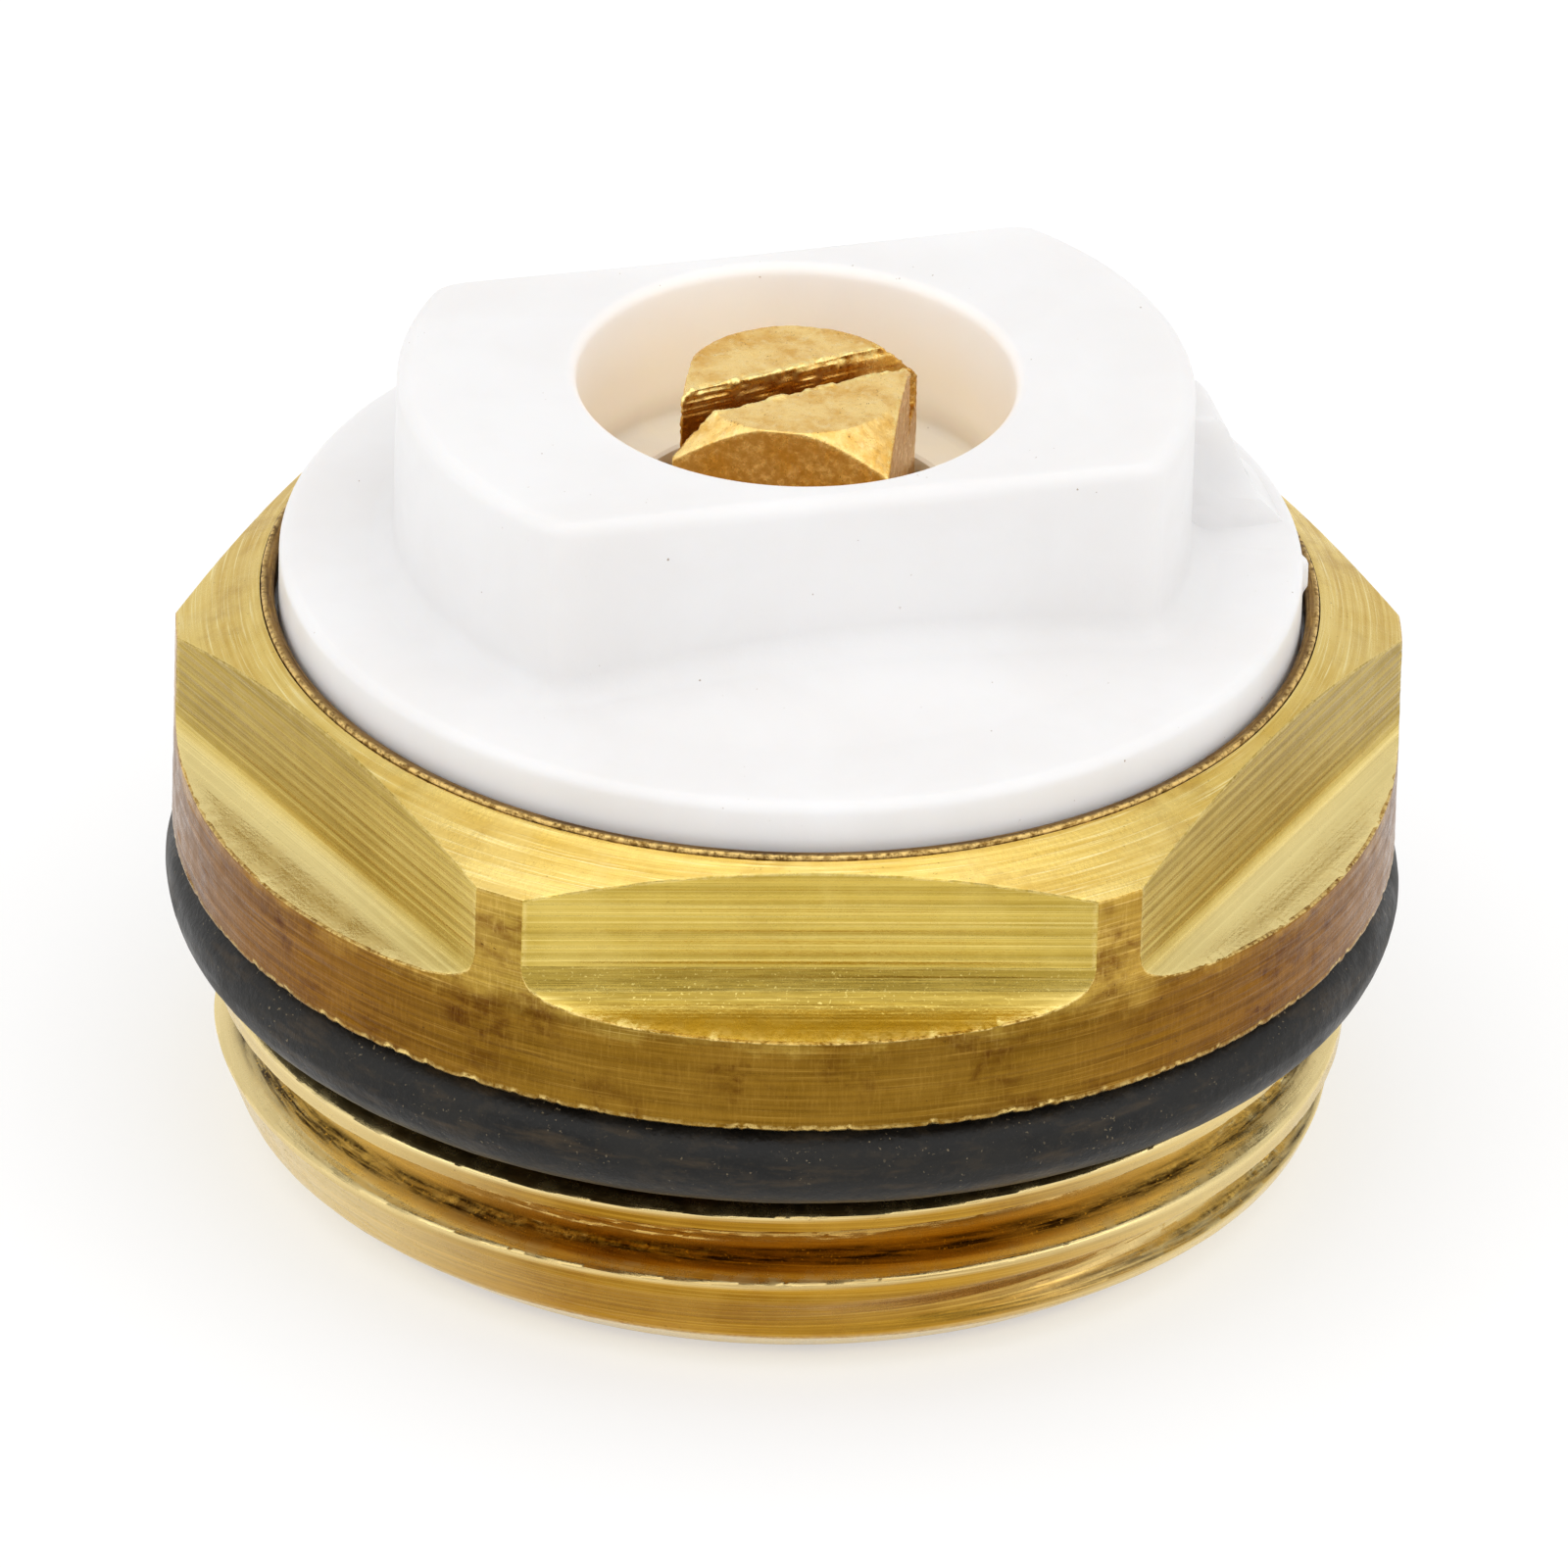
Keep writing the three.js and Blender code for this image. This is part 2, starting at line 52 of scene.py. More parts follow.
def noise2(x, y, seed, wrap=0):
    """Value noise from 0 to 1; x repeats every `wrap` cells if wrap is given."""
    tab = _table(seed, (256, 256))
    x, y = np.broadcast_arrays(np.asarray(x, float), np.asarray(y, float))
    xi, yi = np.floor(x).astype(int), np.floor(y).astype(int)
    fx, fy = x - xi, y - yi
    fx, fy = fx * fx * (3 - 2 * fx), fy * fy * (3 - 2 * fy)
    m = wrap if wrap else 256
    x0, x1 = (xi % m) % 256, ((xi + 1) % m) % 256
    if wrap > 256:
        x0 = ((xi % m) * 97) % 256
        x1 = (((xi + 1) % m) * 97) % 256
    y0, y1 = yi % 256, (yi + 1) % 256
    a = tab[x0, y0] * (1 - fx) + tab[x1, y0] * fx
    b = tab[x0, y1] * (1 - fx) + tab[x1, y1] * fx
    return a * (1 - fy) + b * fy


def noise3(p, seed):
    tab = _table(seed, (64, 64, 64))
    i = np.floor(p).astype(int)
    f = p - i
    f = f * f * (3 - 2 * f)
    out = 0
    for dx in (0, 1):
        for dy in (0, 1):
            for dz in (0, 1):
                w = (f[:, 0] if dx else 1 - f[:, 0]) * (f[:, 1] if dy else 1 - f[:, 1]) * (f[:, 2] if dz else 1 - f[:, 2])
                out = out + w * tab[(i[:, 0] + dx) % 64, (i[:, 1] + dy) % 64, (i[:, 2] + dz) % 64]
    return out


def spikes(th, seed, cells, y=0.5, threshold=0.55, power=1.5):
    """Scattered chips round a turn, 0 to 1."""
    n = 0.65 * noise2(th / (2 * math.pi) * cells, y, seed, cells) \
        + 0.35 * noise2(th / (2 * math.pi) * cells * 3, y + 7, seed + 1, cells * 3)
    return np.clip((n - threshold) / (1 - threshold), 0, 1) ** power


def smooth(a, b, x):
    t = np.clip((x - a) / (b - a), 0, 1)
    return t * t * (3 - 2 * t)


def smin(a, b, k):
    h = np.clip(k - np.abs(a - b), 0, None) / k
    return np.minimum(a, b) - h * h * k / 4


def smax(a, b, k):
    return -smin(-a, -b, k)


# ---------------------------------------------------------------------------
# Meshes out of rings of points
# ---------------------------------------------------------------------------

class Shell:
    """A closed surface built ring by ring about Z. Rings go counter-clockwise; the
    profile runs up the outside and down the inside."""

    def __init__(self):
        self.rings = []

    def ring(self, th, r, z, mat, wear=0.0, depth_shade=0.0, painted_reflection=0.0):
        n = len(th)
        r = np.broadcast_to(np.asarray(r, float), (n,))
        z = np.broadcast_to(np.asarray(z, float), (n,))
        self.rings.append(dict(
            p=np.stack([r * np.cos(th), r * np.sin(th), z], 1), mat=mat,
            wear=np.broadcast_to(np.asarray(wear, float), (n,)),
            depth_shade=np.broadcast_to(np.asarray(depth_shade, float), (n,)),
            painted_reflection=np.broadcast_to(np.asarray(painted_reflection, float), (n,))))

    def build(self, name, materials, closed=True, sharp=32.0, cap_ends=False, turn=0.0):
        start = np.cumsum([0] + [len(r["p"]) for r in self.rings])
        verts = np.concatenate([r["p"] for r in self.rings]) * MM
        if turn:
            c, s = math.cos(turn), math.sin(turn)
            verts = verts @ np.array([[c, s, 0], [-s, c, 0], [0, 0, 1]])
        wear = np.concatenate([r["wear"] for r in self.rings])
        depth_shade = np.concatenate([r["depth_shade"] for r in self.rings])
        painted_reflection = np.concatenate([r["painted_reflection"] for r in self.rings])
        loops, sizes, mats = [], [], []
        count = len(self.rings)
        for i in range(count if closed else count - 1):
            k = (i + 1) % count
            na, nb = len(self.rings[i]["p"]), len(self.rings[k]["p"])
            a0, b0 = start[i], start[k]
            if na == nb:
                j = np.arange(na)
                j1 = (j + 1) % na
                loops.append(np.stack([a0 + j, a0 + j1, b0 + j1, b0 + j], 1).ravel())
                sizes.append(np.full(na, 4))
                mats.append(np.full(na, self.rings[i]["mat"]))
            elif na > nb:
                q = na // nb
                for j in range(nb):
                    outer = [a0 + (j * q + t) % na for t in range(q + 1)]
                    loops.append(np.array(outer + [b0 + (j + 1) % nb, b0 + j]))
                sizes.append(np.full(nb, q + 3))
                mats.append(np.full(nb, self.rings[i]["mat"]))
            else:
                q = nb // na
                for j in range(na):
                    outer = [b0 + (j * q + t) % nb for t in range(q, -1, -1)]
                    loops.append(np.array([a0 + j, a0 + (j + 1) % na] + outer))
                sizes.append(np.full(na, q + 3))
                mats.append(np.full(na, self.rings[i]["mat"]))
        if cap_ends:
            n0, n1 = len(self.rings[0]["p"]), len(self.rings[-1]["p"])
            loops.append(np.arange(n0)[::-1])
            sizes.append(np.array([n0]))
            mats.append(np.array([self.rings[0]["mat"]]))
            loops.append(start[count - 1] + np.arange(n1))
            sizes.append(np.array([n1]))
            mats.append(np.array([self.rings[-1]["mat"]]))
        loops = np.concatenate(loops).astype(np.int32)
        sizes = np.concatenate(sizes)
        mats = np.concatenate(mats).astype(np.int32)
        me = bpy.data.meshes.new(name)
        me.vertices.add(len(verts))
        me.vertices.foreach_set("co", verts.astype(np.float32).ravel())
        me.loops.add(len(loops))
        me.loops.foreach_set("vertex_index", loops)
        me.polygons.add(len(sizes))
        me.polygons.foreach_set("loop_start", np.concatenate([[0], np.cumsum(sizes)[:-1]]).astype(np.int32))
        me.polygons.foreach_set("material_index", mats)
        me.update(calc_edges=True)
        me.validate()
        for label, data in (("wear", wear), ("depth_shade", depth_shade), ("painted_reflection", painted_reflection)):
            at = me.attributes.new(label, "FLOAT", "POINT")
            at.data.foreach_set("value", data.astype(np.float32))
        ob = bpy.data.objects.new(name, me)
        bpy.context.collection.objects.link(ob)
        for m in materials:
            me.materials.append(m)
        shade(me, sharp)
        return ob


def shade(me, sharp):
    me.polygons.foreach_set("use_smooth", np.ones(len(me.polygons), dtype=bool))
    if sharp:
        me.set_sharp_from_angle(angle=sharp * DEG)
    me.update()


def applied(ob):
    """The object's modifiers made permanent."""
    dg = bpy.context.evaluated_depsgraph_get()
    me = bpy.data.meshes.new_from_object(ob.evaluated_get(dg))
    old = ob.data
    ob.modifiers.clear()
    ob.data = me
    bpy.data.meshes.remove(old)
    return me


def cutter(name, bm):
    me = bpy.data.meshes.new(name)
    bmesh.ops.recalc_face_normals(bm, faces=bm.faces)
    bm.to_mesh(me)
    bm.free()
    ob = bpy.data.objects.new(name, me)
    bpy.context.collection.objects.link(ob)
    return ob


def carve(ob, tools, op="DIFFERENCE"):
    for t in tools:
        m = ob.modifiers.new("cut", "BOOLEAN")
        m.operation = op
        m.solver = "MANIFOLD"
        m.object = t
        applied(ob)
        bpy.data.objects.remove(t)


def prism(points, z0, z1, turn=0.0):
    """Closed prism over a plan outline (mm)."""
    bm = bmesh.new()
    c, s = math.cos(turn), math.sin(turn)
    low = [bm.verts.new(((x * c - y * s) * MM, (x * s + y * c) * MM, z0 * MM)) for x, y in points]
    high = [bm.verts.new((v.co.x, v.co.y, z1 * MM)) for v in low]
    bm.faces.new(low[::-1])
    bm.faces.new(high)
    n = len(low)
    for i in range(n):
        bm.faces.new((low[i], low[(i + 1) % n], high[(i + 1) % n], high[i]))
    return bm


# ---------------------------------------------------------------------------
# Materials
# ---------------------------------------------------------------------------

def lin(r, g, b):
    f = lambda c: c / 12.92 if c <= 0.04045 else ((c + 0.055) / 1.055) ** 2.4
    return (f(r / 255), f(g / 255), f(b / 255), 1.0)


class Shader:
    def __init__(self, name):
        self.mat = bpy.data.materials.new(name)
        self.mat.use_nodes = True
        self.nt = self.mat.node_tree
        self.b = self.nt.nodes["Principled BSDF"]
        tc = self.nt.nodes.new("ShaderNodeTexCoord")
        sc = self.nt.nodes.new("ShaderNodeVectorMath")
        sc.operation = "SCALE"
        sc.inputs["Scale"].default_value = 1000.0
        self.nt.links.new(tc.outputs["Object"], sc.inputs[0])
        self.mm = sc.outputs[0]
        self._cyl = None

    def link(self, a, b):
        self.nt.links.new(a, b)

    def put(self, socket, value):
        if hasattr(value, "is_output"):
            self.link(value, socket)
        else:
            socket.default_value = value

    def math(self, op, a, b=None, clamp=False):
        n = self.nt.nodes.new("ShaderNodeMath")
        n.operation = op
        n.use_clamp = clamp
        self.put(n.inputs[0], a)
        if b is not None:
            self.put(n.inputs[1], b)
        return n.outputs[0]

    def polar(self):
        """(x, y, z, radius) in mm."""
        if self._cyl is None:
            s = self.nt.nodes.new("ShaderNodeSeparateXYZ")
            self.link(self.mm, s.inputs[0])
            x, y, z = s.outputs
            r = self.math("SQRT", self.math("ADD", self.math("MULTIPLY", x, x), self.math("MULTIPLY", y, y)))
            self._cyl = (x, y, z, r)
        return self._cyl

    def coords(self, sx, sy, sz, radial=0.0):
        """Object coordinates in mm stretched by axis, with the radius added to the third."""
        x, y, z, r = self.polar()
        c = self.nt.nodes.new("ShaderNodeCombineXYZ")
        self.put(c.inputs[0], self.math("MULTIPLY", x, sx))
        self.put(c.inputs[1], self.math("MULTIPLY", y, sy))
        third = self.math("MULTIPLY", z, sz)
        if radial:
            third = self.math("ADD", third, self.math("MULTIPLY", r, radial))
        self.put(c.inputs[2], third)
        return c.outputs[0]

    def noise(self, scale=1.0, detail=3.0, rough=0.55, vec=None, distort=0.0, kind="FBM"):
        n = self.nt.nodes.new("ShaderNodeTexNoise")
        n.noise_dimensions = "3D"
        self.link(vec if vec is not None else self.mm, n.inputs["Vector"])
        n.inputs["Scale"].default_value = scale
        n.inputs["Detail"].default_value = detail
        n.inputs["Roughness"].default_value = rough
        n.inputs["Distortion"].default_value = distort
        return n.outputs["Fac"]

    def cells(self, scale, vec=None, feature="F1"):
        n = self.nt.nodes.new("ShaderNodeTexVoronoi")
        n.feature = feature
        self.link(vec if vec is not None else self.mm, n.inputs["Vector"])
        n.inputs["Scale"].default_value = scale
        return n.outputs["Distance"]

    def ramp(self, fac, stops, smoothed=False):
        n = self.nt.nodes.new("ShaderNodeValToRGB")
        self.link(fac, n.inputs[0])
        e = n.color_ramp.elements
        while len(e) < len(stops):
            e.new(0.5)
        for el, (pos, col) in zip(e, stops):
            el.position = pos
            el.color = col if hasattr(col, "__len__") else (col, col, col, 1)
        if smoothed:
            n.color_ramp.interpolation = "EASE"
        return n.outputs["Color"]

    def remap(self, fac, a, b, lo=0.0, hi=1.0, soft=True):
        n = self.nt.nodes.new("ShaderNodeMapRange")
        n.interpolation_type = "SMOOTHSTEP" if soft else "LINEAR"
        self.put(n.inputs["Value"], fac)
        n.inputs["From Min"].default_value = a
        n.inputs["From Max"].default_value = b
        n.inputs["To Min"].default_value = lo
        n.inputs["To Max"].default_value = hi
        return n.outputs["Result"]

    def mix(self, fac, a, b, blend="MIX"):
        n = self.nt.nodes.new("ShaderNodeMix")
        n.data_type = "RGBA"
        n.blend_type = blend
        n.clamp_factor = True
        self.put(n.inputs["Factor"], fac)
        self.put(n.inputs["A"], a)
        self.put(n.inputs["B"], b)
        return n.outputs["Result"]

    def attr(self, name):
        n = self.nt.nodes.new("ShaderNodeAttribute")
        n.attribute_name = name
        return n.outputs["Fac"]

    def bump(self, height, distance, strength=1.0, normal=None):
        n = self.nt.nodes.new("ShaderNodeBump")
        n.inputs["Strength"].default_value = strength
        n.inputs["Distance"].default_value = distance * MM
        self.link(height, n.inputs["Height"])
        if normal is not None:
            self.link(normal, n.inputs["Normal"])
        return n.outputs["Normal"]


def brass(name, base, dark, light, streak, rough=0.34, blotch=0.0, brown=None, speck=0.5,
          bump=0.012, wear_col=None, shade_col=None, fine=None, tarnish=None, lines=None,
          weave=False, reflection_col=None, side_shade=0.0, side_shade_low=1.0, side_shade_tint=lin(150, 130, 70), side_light=0.0, side_light_below=40.0):
    """Machined brass. `streak` and `fine` are stretches (x, y, z, radius) of the tool marks."""
    s = Shader(name)
    s.b.inputs["Metallic"].default_value = 1.0
    wide = s.noise(1.0, 4.0, 0.6, s.coords(*streak))
    thin = s.noise(1.0, 3.0, 0.65, s.coords(*(fine or tuple(2.7 * k for k in streak))))
    cloud = s.noise(0.35, 4.0, 0.6, distort=0.4)
    col = s.mix(s.remap(wide, 0.36, 0.64), dark, base)
    col = s.mix(s.remap(thin, 0.52, 0.74), col, light)
    col = s.mix(s.math("MULTIPLY", s.remap(thin, 0.44, 0.28), 0.55), col, dark)
    col = s.mix(s.math("MULTIPLY", s.remap(cloud, 0.35, 0.7), 0.35), col, s.mix(0.5, base, light))
    if brown is not None and blotch:
        stain = s.noise(0.42, 4.0, 0.60, s.coords(1.0, 1.0, 1.3), distort=0.5)
        patch = s.noise(1.0, 5.0, 0.62, s.coords(1.6, 1.6, 3.2))
        m = s.math("MULTIPLY", s.remap(stain, 0.46, 0.70), s.remap(patch, 0.30, 0.66))
        col = s.mix(s.math("MULTIPLY", m, blotch), col, brown)
    if lines:
        # a painted highlight along the ridge left by each pass of the cutter
        z = s.math("ADD", s.polar()[2], s.remap(s.noise(0.25, 2.0, 0.5), 0.3, 0.7, -0.02, 0.02))
        wave = s.math("SINE", s.math("MULTIPLY", z, 2 * math.pi / lines))
        strength = s.remap(s.noise(1.0, 3.0, 0.6, s.coords(0.05, 0.05, 1.9)), 0.35, 0.65)
        ridge = s.math("MULTIPLY", s.remap(wave, 0.55, 1.0), strength)
        col = s.mix(s.math("MULTIPLY", ridge, 0.38), col, light)
    if weave:
        # scratches up and down, across the turning marks
        warp = s.noise(1.0, 4.0, 0.62, s.coords(13.0, 13.0, 1.6))
        col = s.mix(s.math("MULTIPLY", s.remap(warp, 0.50, 0.70), 0.28), col, light)
        col = s.mix(s.math("MULTIPLY", s.remap(warp, 0.48, 0.30), 0.28), col, dark)
    if side_shade:
        # painted shade: darker towards the left and right sides
        ax = s.math("ABSOLUTE", s.polar()[0])
        gate = s.math("MULTIPLY", s.remap(ax, 6.0, 15.0, 0.0, side_shade), s.remap(s.polar()[2], 12.9, 13.6, side_shade_low, 1.0))
        col = s.mix(gate, col, s.mix(0.6, col, side_shade_tint, "MULTIPLY"))
    if side_light:
        # painted reflection: lighter towards the left and right sides, below side_light_below
        ax = s.math("ABSOLUTE", s.polar()[0])
        gate = s.math("MULTIPLY", s.remap(ax, 5.0, 14.0, 0.0, side_light),
                      s.remap(s.polar()[2], side_light_below, side_light_below - 0.7))
        col = s.mix(gate, col, lin(255, 236, 172))
    if tarnish is not None:
        # handled band, darker below the run-out of the flats
        edge = s.remap(s.noise(0.9, 5.0, 0.65), 0.3, 0.7, -0.5, 0.5)
        band = s.remap(s.math("ADD", s.polar()[2], edge), 13.2, 11.6)
        col = s.mix(s.math("MULTIPLY", band, 0.95), col, s.mix(0.95, col, tarnish, "MULTIPLY"))
    if speck:
        pits = s.noise(9.0, 2.0, 0.5)
        gate = s.noise(0.8, 3.0, 0.6)
        m = s.math("MULTIPLY", s.remap(pits, 0.66, 0.76), s.remap(gate, 0.46, 0.62))
        col = s.mix(s.math("MULTIPLY", m, speck), col, lin(74, 48, 16))
    if shade_col is not None:
        # painted shade from the depth_shade attribute, streaked by torn noise, with painted glints scattered through it
        torn = s.noise(1.0, 5.0, 0.7, s.coords(0.5, 0.5, 14.0))
        d = s.math("MULTIPLY", s.attr("depth_shade"), s.remap(torn, 0.40, 0.60, 0.45, 1.0))
        col = s.mix(d, col, shade_col)
        glint = s.math("MULTIPLY", s.attr("depth_shade"), s.remap(s.noise(11.0, 2.0, 0.5), 0.63, 0.72))
        col = s.mix(s.math("MULTIPLY", glint, 0.7), col, light)
    if reflection_col is not None:
        # painted reflection from the painted_reflection attribute
        shine = s.remap(thin, 0.30, 0.62, 0.55, 1.0)
        col = s.mix(s.math("MULTIPLY", s.attr("painted_reflection"), shine), col, reflection_col)
    if wear_col is not None:
        chip = s.remap(s.noise(5.0, 4.0, 0.7), 0.36, 0.60)
        col = s.mix(s.math("MULTIPLY", s.attr("wear"), chip), col, wear_col)
    s.link(col, s.b.inputs["Base Color"])
    r = s.remap(s.noise(1.4, 5.0, 0.65), 0.3, 0.7, rough - 0.08, rough + 0.10)
    r = s.math("ADD", r, s.remap(wide, 0.3, 0.7, 0.05, -0.04))
    s.link(r, s.b.inputs["Roughness"])
    n = s.bump(wide, bump * 1.6)
    n = s.bump(thin, bump, normal=n)
    n = s.bump(s.noise(7.0, 4.0, 0.6), bump * 0.8, normal=n)
    s.link(n, s.b.inputs["Normal"])
    return s.mat


CONE = brass("brass_cone", lin(236, 206, 116), lin(214, 178, 84), lin(255, 238, 172),
             (0.08, 0.08, 0.0, 4.0), rough=0.26, blotch=0.35, brown=lin(160, 116, 44), speck=0.5,
             wear_col=lin(252, 226, 150), fine=(0.25, 0.25, 0.0, 15.0))
FLATS = brass("brass_flats", lin(210, 181, 84), lin(184, 156, 64), lin(250, 228, 140),
              (0.012, 0.012, 4.2), rough=0.22, side_shade=0.75, side_shade_low=0.0, side_light=0.6, side_light_below=13.3, shade_col=lin(158, 132, 54), speck=0.22, fine=(0.02, 0.02, 16.0), lines=0.345,
              blotch=0.2, brown=lin(150, 116, 40), wear_col=lin(255, 232, 160), bump=0.016)
COLLAR = brass("brass_collar", lin(194, 160, 68), lin(158, 126, 46), lin(230, 198, 112),
               (0.06, 0.06, 4.5), rough=0.27, blotch=0.9, brown=lin(118, 74, 20), speck=0.8, weave=True, side_shade=0.7, side_shade_tint=lin(240, 178, 20),
               fine=(0.25, 0.25, 16.0), wear_col=lin(255, 224, 140), bump=0.014,
               tarnish=lin(176, 152, 100))
THREAD = brass("brass_thread", lin(186, 138, 40), lin(146, 102, 22), lin(222, 180, 84),
               (0.03, 0.03, 4.0), side_light=0.6, rough=0.22, blotch=0.3, brown=lin(150, 96, 30), speck=0.35,
               fine=(0.05, 0.05, 20.0), wear_col=lin(255, 232, 160), shade_col=lin(44, 27, 9), bump=0.008,
               reflection_col=lin(244, 222, 160))
INNER = brass("brass_inner", lin(190, 156, 78), lin(150, 116, 48), lin(220, 190, 110),
              (0.2, 0.2, 3.0, 3.0), rough=0.42, blotch=0.4, brown=lin(120, 84, 34), speck=0.5)
RING = brass("brass_ring", lin(140, 104, 48), lin(96, 66, 26), lin(196, 156, 84),
             (0.3, 0.3, 3.0, 9.0), rough=0.45, blotch=0.8, brown=lin(82, 52, 22), speck=0.8,
             wear_col=lin(236, 202, 128), bump=0.02)


def screw_brass():
    s = Shader("brass_screw")
    s.b.inputs["Metallic"].default_value = 1.0
    big = s.noise(0.9, 5.0, 0.62, distort=0.3)
    mid = s.noise(4.5, 5.0, 0.65)
    saw = s.noise(1.0, 4.0, 0.6, s.coords(3.5, 3.5, 1.2))
    col = s.mix(s.remap(big, 0.35, 0.66), lin(230, 178, 84), lin(255, 220, 142))
    col = s.mix(s.math("MULTIPLY", s.remap(saw, 0.5, 0.75), 0.6), col, lin(254, 228, 166))
    col = s.mix(s.math("MULTIPLY", s.remap(mid, 0.56, 0.70), 0.28), col, lin(164, 110, 40))
    pits = s.math("MULTIPLY", s.remap(s.noise(13.0, 2.0, 0.5), 0.64, 0.74), s.remap(s.noise(1.3, 3.0, 0.6), 0.42, 0.62))
    col = s.mix(s.math("MULTIPLY", pits, 0.9), col, lin(62, 36, 12))
    # painted shade from the depth_shade attribute, in the slot and on faces turned away from above
    col = s.mix(s.math("MULTIPLY", s.attr("depth_shade"), s.remap(mid, 0.25, 0.6, 0.35, 1.0)), col, lin(176, 124, 42))
    chip = s.remap(s.noise(7.0, 4.0, 0.7), 0.40, 0.58)
    col = s.mix(s.math("MULTIPLY", s.attr("wear"), chip), col, lin(255, 236, 160))
    s.link(col, s.b.inputs["Base Color"])
    s.link(s.remap(mid, 0.3, 0.7, 0.22, 0.42), s.b.inputs["Roughness"])
    n = s.bump(saw, 0.012)
    n = s.bump(mid, 0.014, normal=n)
    n = s.bump(s.noise(16.0, 3.0, 0.6), 0.012, normal=n)
    s.link(n, s.b.inputs["Normal"])
    return s.mat


def plastic():
    s = Shader("white_plastic")
    b = s.b
    b.inputs["Metallic"].default_value = 0.0
    b.inputs["IOR"].default_value = 1.46
    b.inputs["Specular IOR Level"].default_value = 0.32
    b.inputs["Subsurface Weight"].default_value = 0.25
    b.inputs["Subsurface Radius"].default_value = (1.0, 0.85, 0.7)
    b.inputs["Subsurface Scale"].default_value = 0.0012
    x, y, z, r = s.polar()
    cloud = s.noise(0.16, 4.0, 0.55, distort=0.3)
    flow = s.noise(1.0, 4.0, 0.55, s.coords(0.5, 0.5, 0.12))
    col = s.mix(s.remap(cloud, 0.3, 0.7), lin(230, 228, 227), lin(234, 233, 233))
    col = s.mix(s.math("MULTIPLY", s.remap(flow, 0.5, 0.8), 0.25), col, lin(228, 226, 225))
    # painted warm bounce light in the recess, lighter and warmer than the rest of the plastic
    recess_bounce_light = s.math("MULTIPLY", s.remap(r, 6.75, 6.35), s.remap(z, 24.0, 21.5, 0.0, 1.0, soft=False))
    col = s.mix(s.math("MULTIPLY", recess_bounce_light, s.remap(s.noise(0.5, 3.0, 0.6), 0.3, 0.7, 0.75, 1.0)), col, lin(252, 243, 224))
    # dark specks in the moulding
    dot = s.noise(6.5, 1.0, 0.4)
    gate = s.noise(0.45, 2.0, 0.5)
    speck = s.math("MULTIPLY", s.remap(dot, 0.785, 0.81), s.remap(gate, 0.52, 0.62))
    col = s.mix(s.math("MULTIPLY", speck, 0.75), col, lin(150, 128, 104))
    s.link(col, b.inputs["Base Color"])
    # painted glow: the recess wall emits warm light of its own
    b.inputs["Emission Color"].default_value = lin(255, 238, 212)
    painted_glow = s.math("MULTIPLY", s.remap(r, 6.75, 6.35), s.remap(z, 19.75, 21.0, 0.0, 0.20))
    s.link(painted_glow, b.inputs["Emission Strength"])
    rough = s.remap(s.noise(0.9, 5.0, 0.6), 0.3, 0.7, 0.30, 0.44)
    s.link(rough, b.inputs["Roughness"])
    n = s.bump(s.noise(0.35, 3.0, 0.5), 0.05)
    n = s.bump(s.noise(3.0, 4.0, 0.6), 0.006, normal=n)
    n = s.bump(s.noise(14.0, 2.0, 0.5), 0.0015, normal=n)
    s.link(n, b.inputs["Normal"])
    return s.mat


def rubber():
    s = Shader("black_rubber")
    b = s.b
    b.inputs["Metallic"].default_value = 0.0
    b.inputs["IOR"].default_value = 1.5
    b.inputs["Specular IOR Level"].default_value = 0.28
    cloud = s.noise(0.5, 5.0, 0.65, s.coords(0.6, 0.6, 1.4), distort=0.5)
    grain = s.noise(6.0, 4.0, 0.65)
    col = s.mix(s.remap(cloud, 0.35, 0.68), lin(14, 13, 11), lin(30, 28, 24))
    col = s.mix(s.math("MULTIPLY", s.remap(grain, 0.52, 0.72), 0.5), col, lin(44, 40, 34))
    dust = s.math("MULTIPLY", s.remap(s.noise(8.0, 2.0, 0.5), 0.66, 0.73), s.remap(s.noise(0.6, 3.0, 0.6), 0.42, 0.6))
    col = s.mix(s.math("MULTIPLY", dust, 0.6), col, lin(150, 134, 104))
    smear = s.noise(1.0, 4.0, 0.6, s.coords(0.4, 0.4, 2.2))
    col = s.mix(s.math("MULTIPLY", s.remap(smear, 0.52, 0.72), 0.55), col, lin(70, 56, 36))
    rub = s.noise(1.0, 5.0, 0.65, s.coords(1.1, 1.1, 2.0))
    col = s.mix(s.math("MULTIPLY", s.remap(rub, 0.52, 0.68), 0.5), col, lin(50, 42, 30))
    s.link(col, b.inputs["Base Color"])
    s.link(s.remap(cloud, 0.3, 0.7, 0.34, 0.58), b.inputs["Roughness"])
    n = s.bump(grain, 0.016)
    n = s.bump(s.noise(1.6, 4.0, 0.6), 0.05, normal=n)
    s.link(n, b.inputs["Normal"])
    return s.mat


SCREW = screw_brass()
PLASTIC = plastic()
RUBBER = rubber()


# ---------------------------------------------------------------------------
# Plug body
# ---------------------------------------------------------------------------

HEX_TURN = 3.08
FLAT = 15.9
COLLAR_R = 17.94
HALF_FLAT = math.degrees(math.acos(FLAT / COLLAR_R))
RUN_Z = np.array([12.05, 12.28, 12.39, 12.55, 12.80, 13.12, 13.55])
RUN_X = np.array([18.9, 17.15, 16.62, 16.28, 16.05, 15.93, 15.9])
PITCH = 2.309


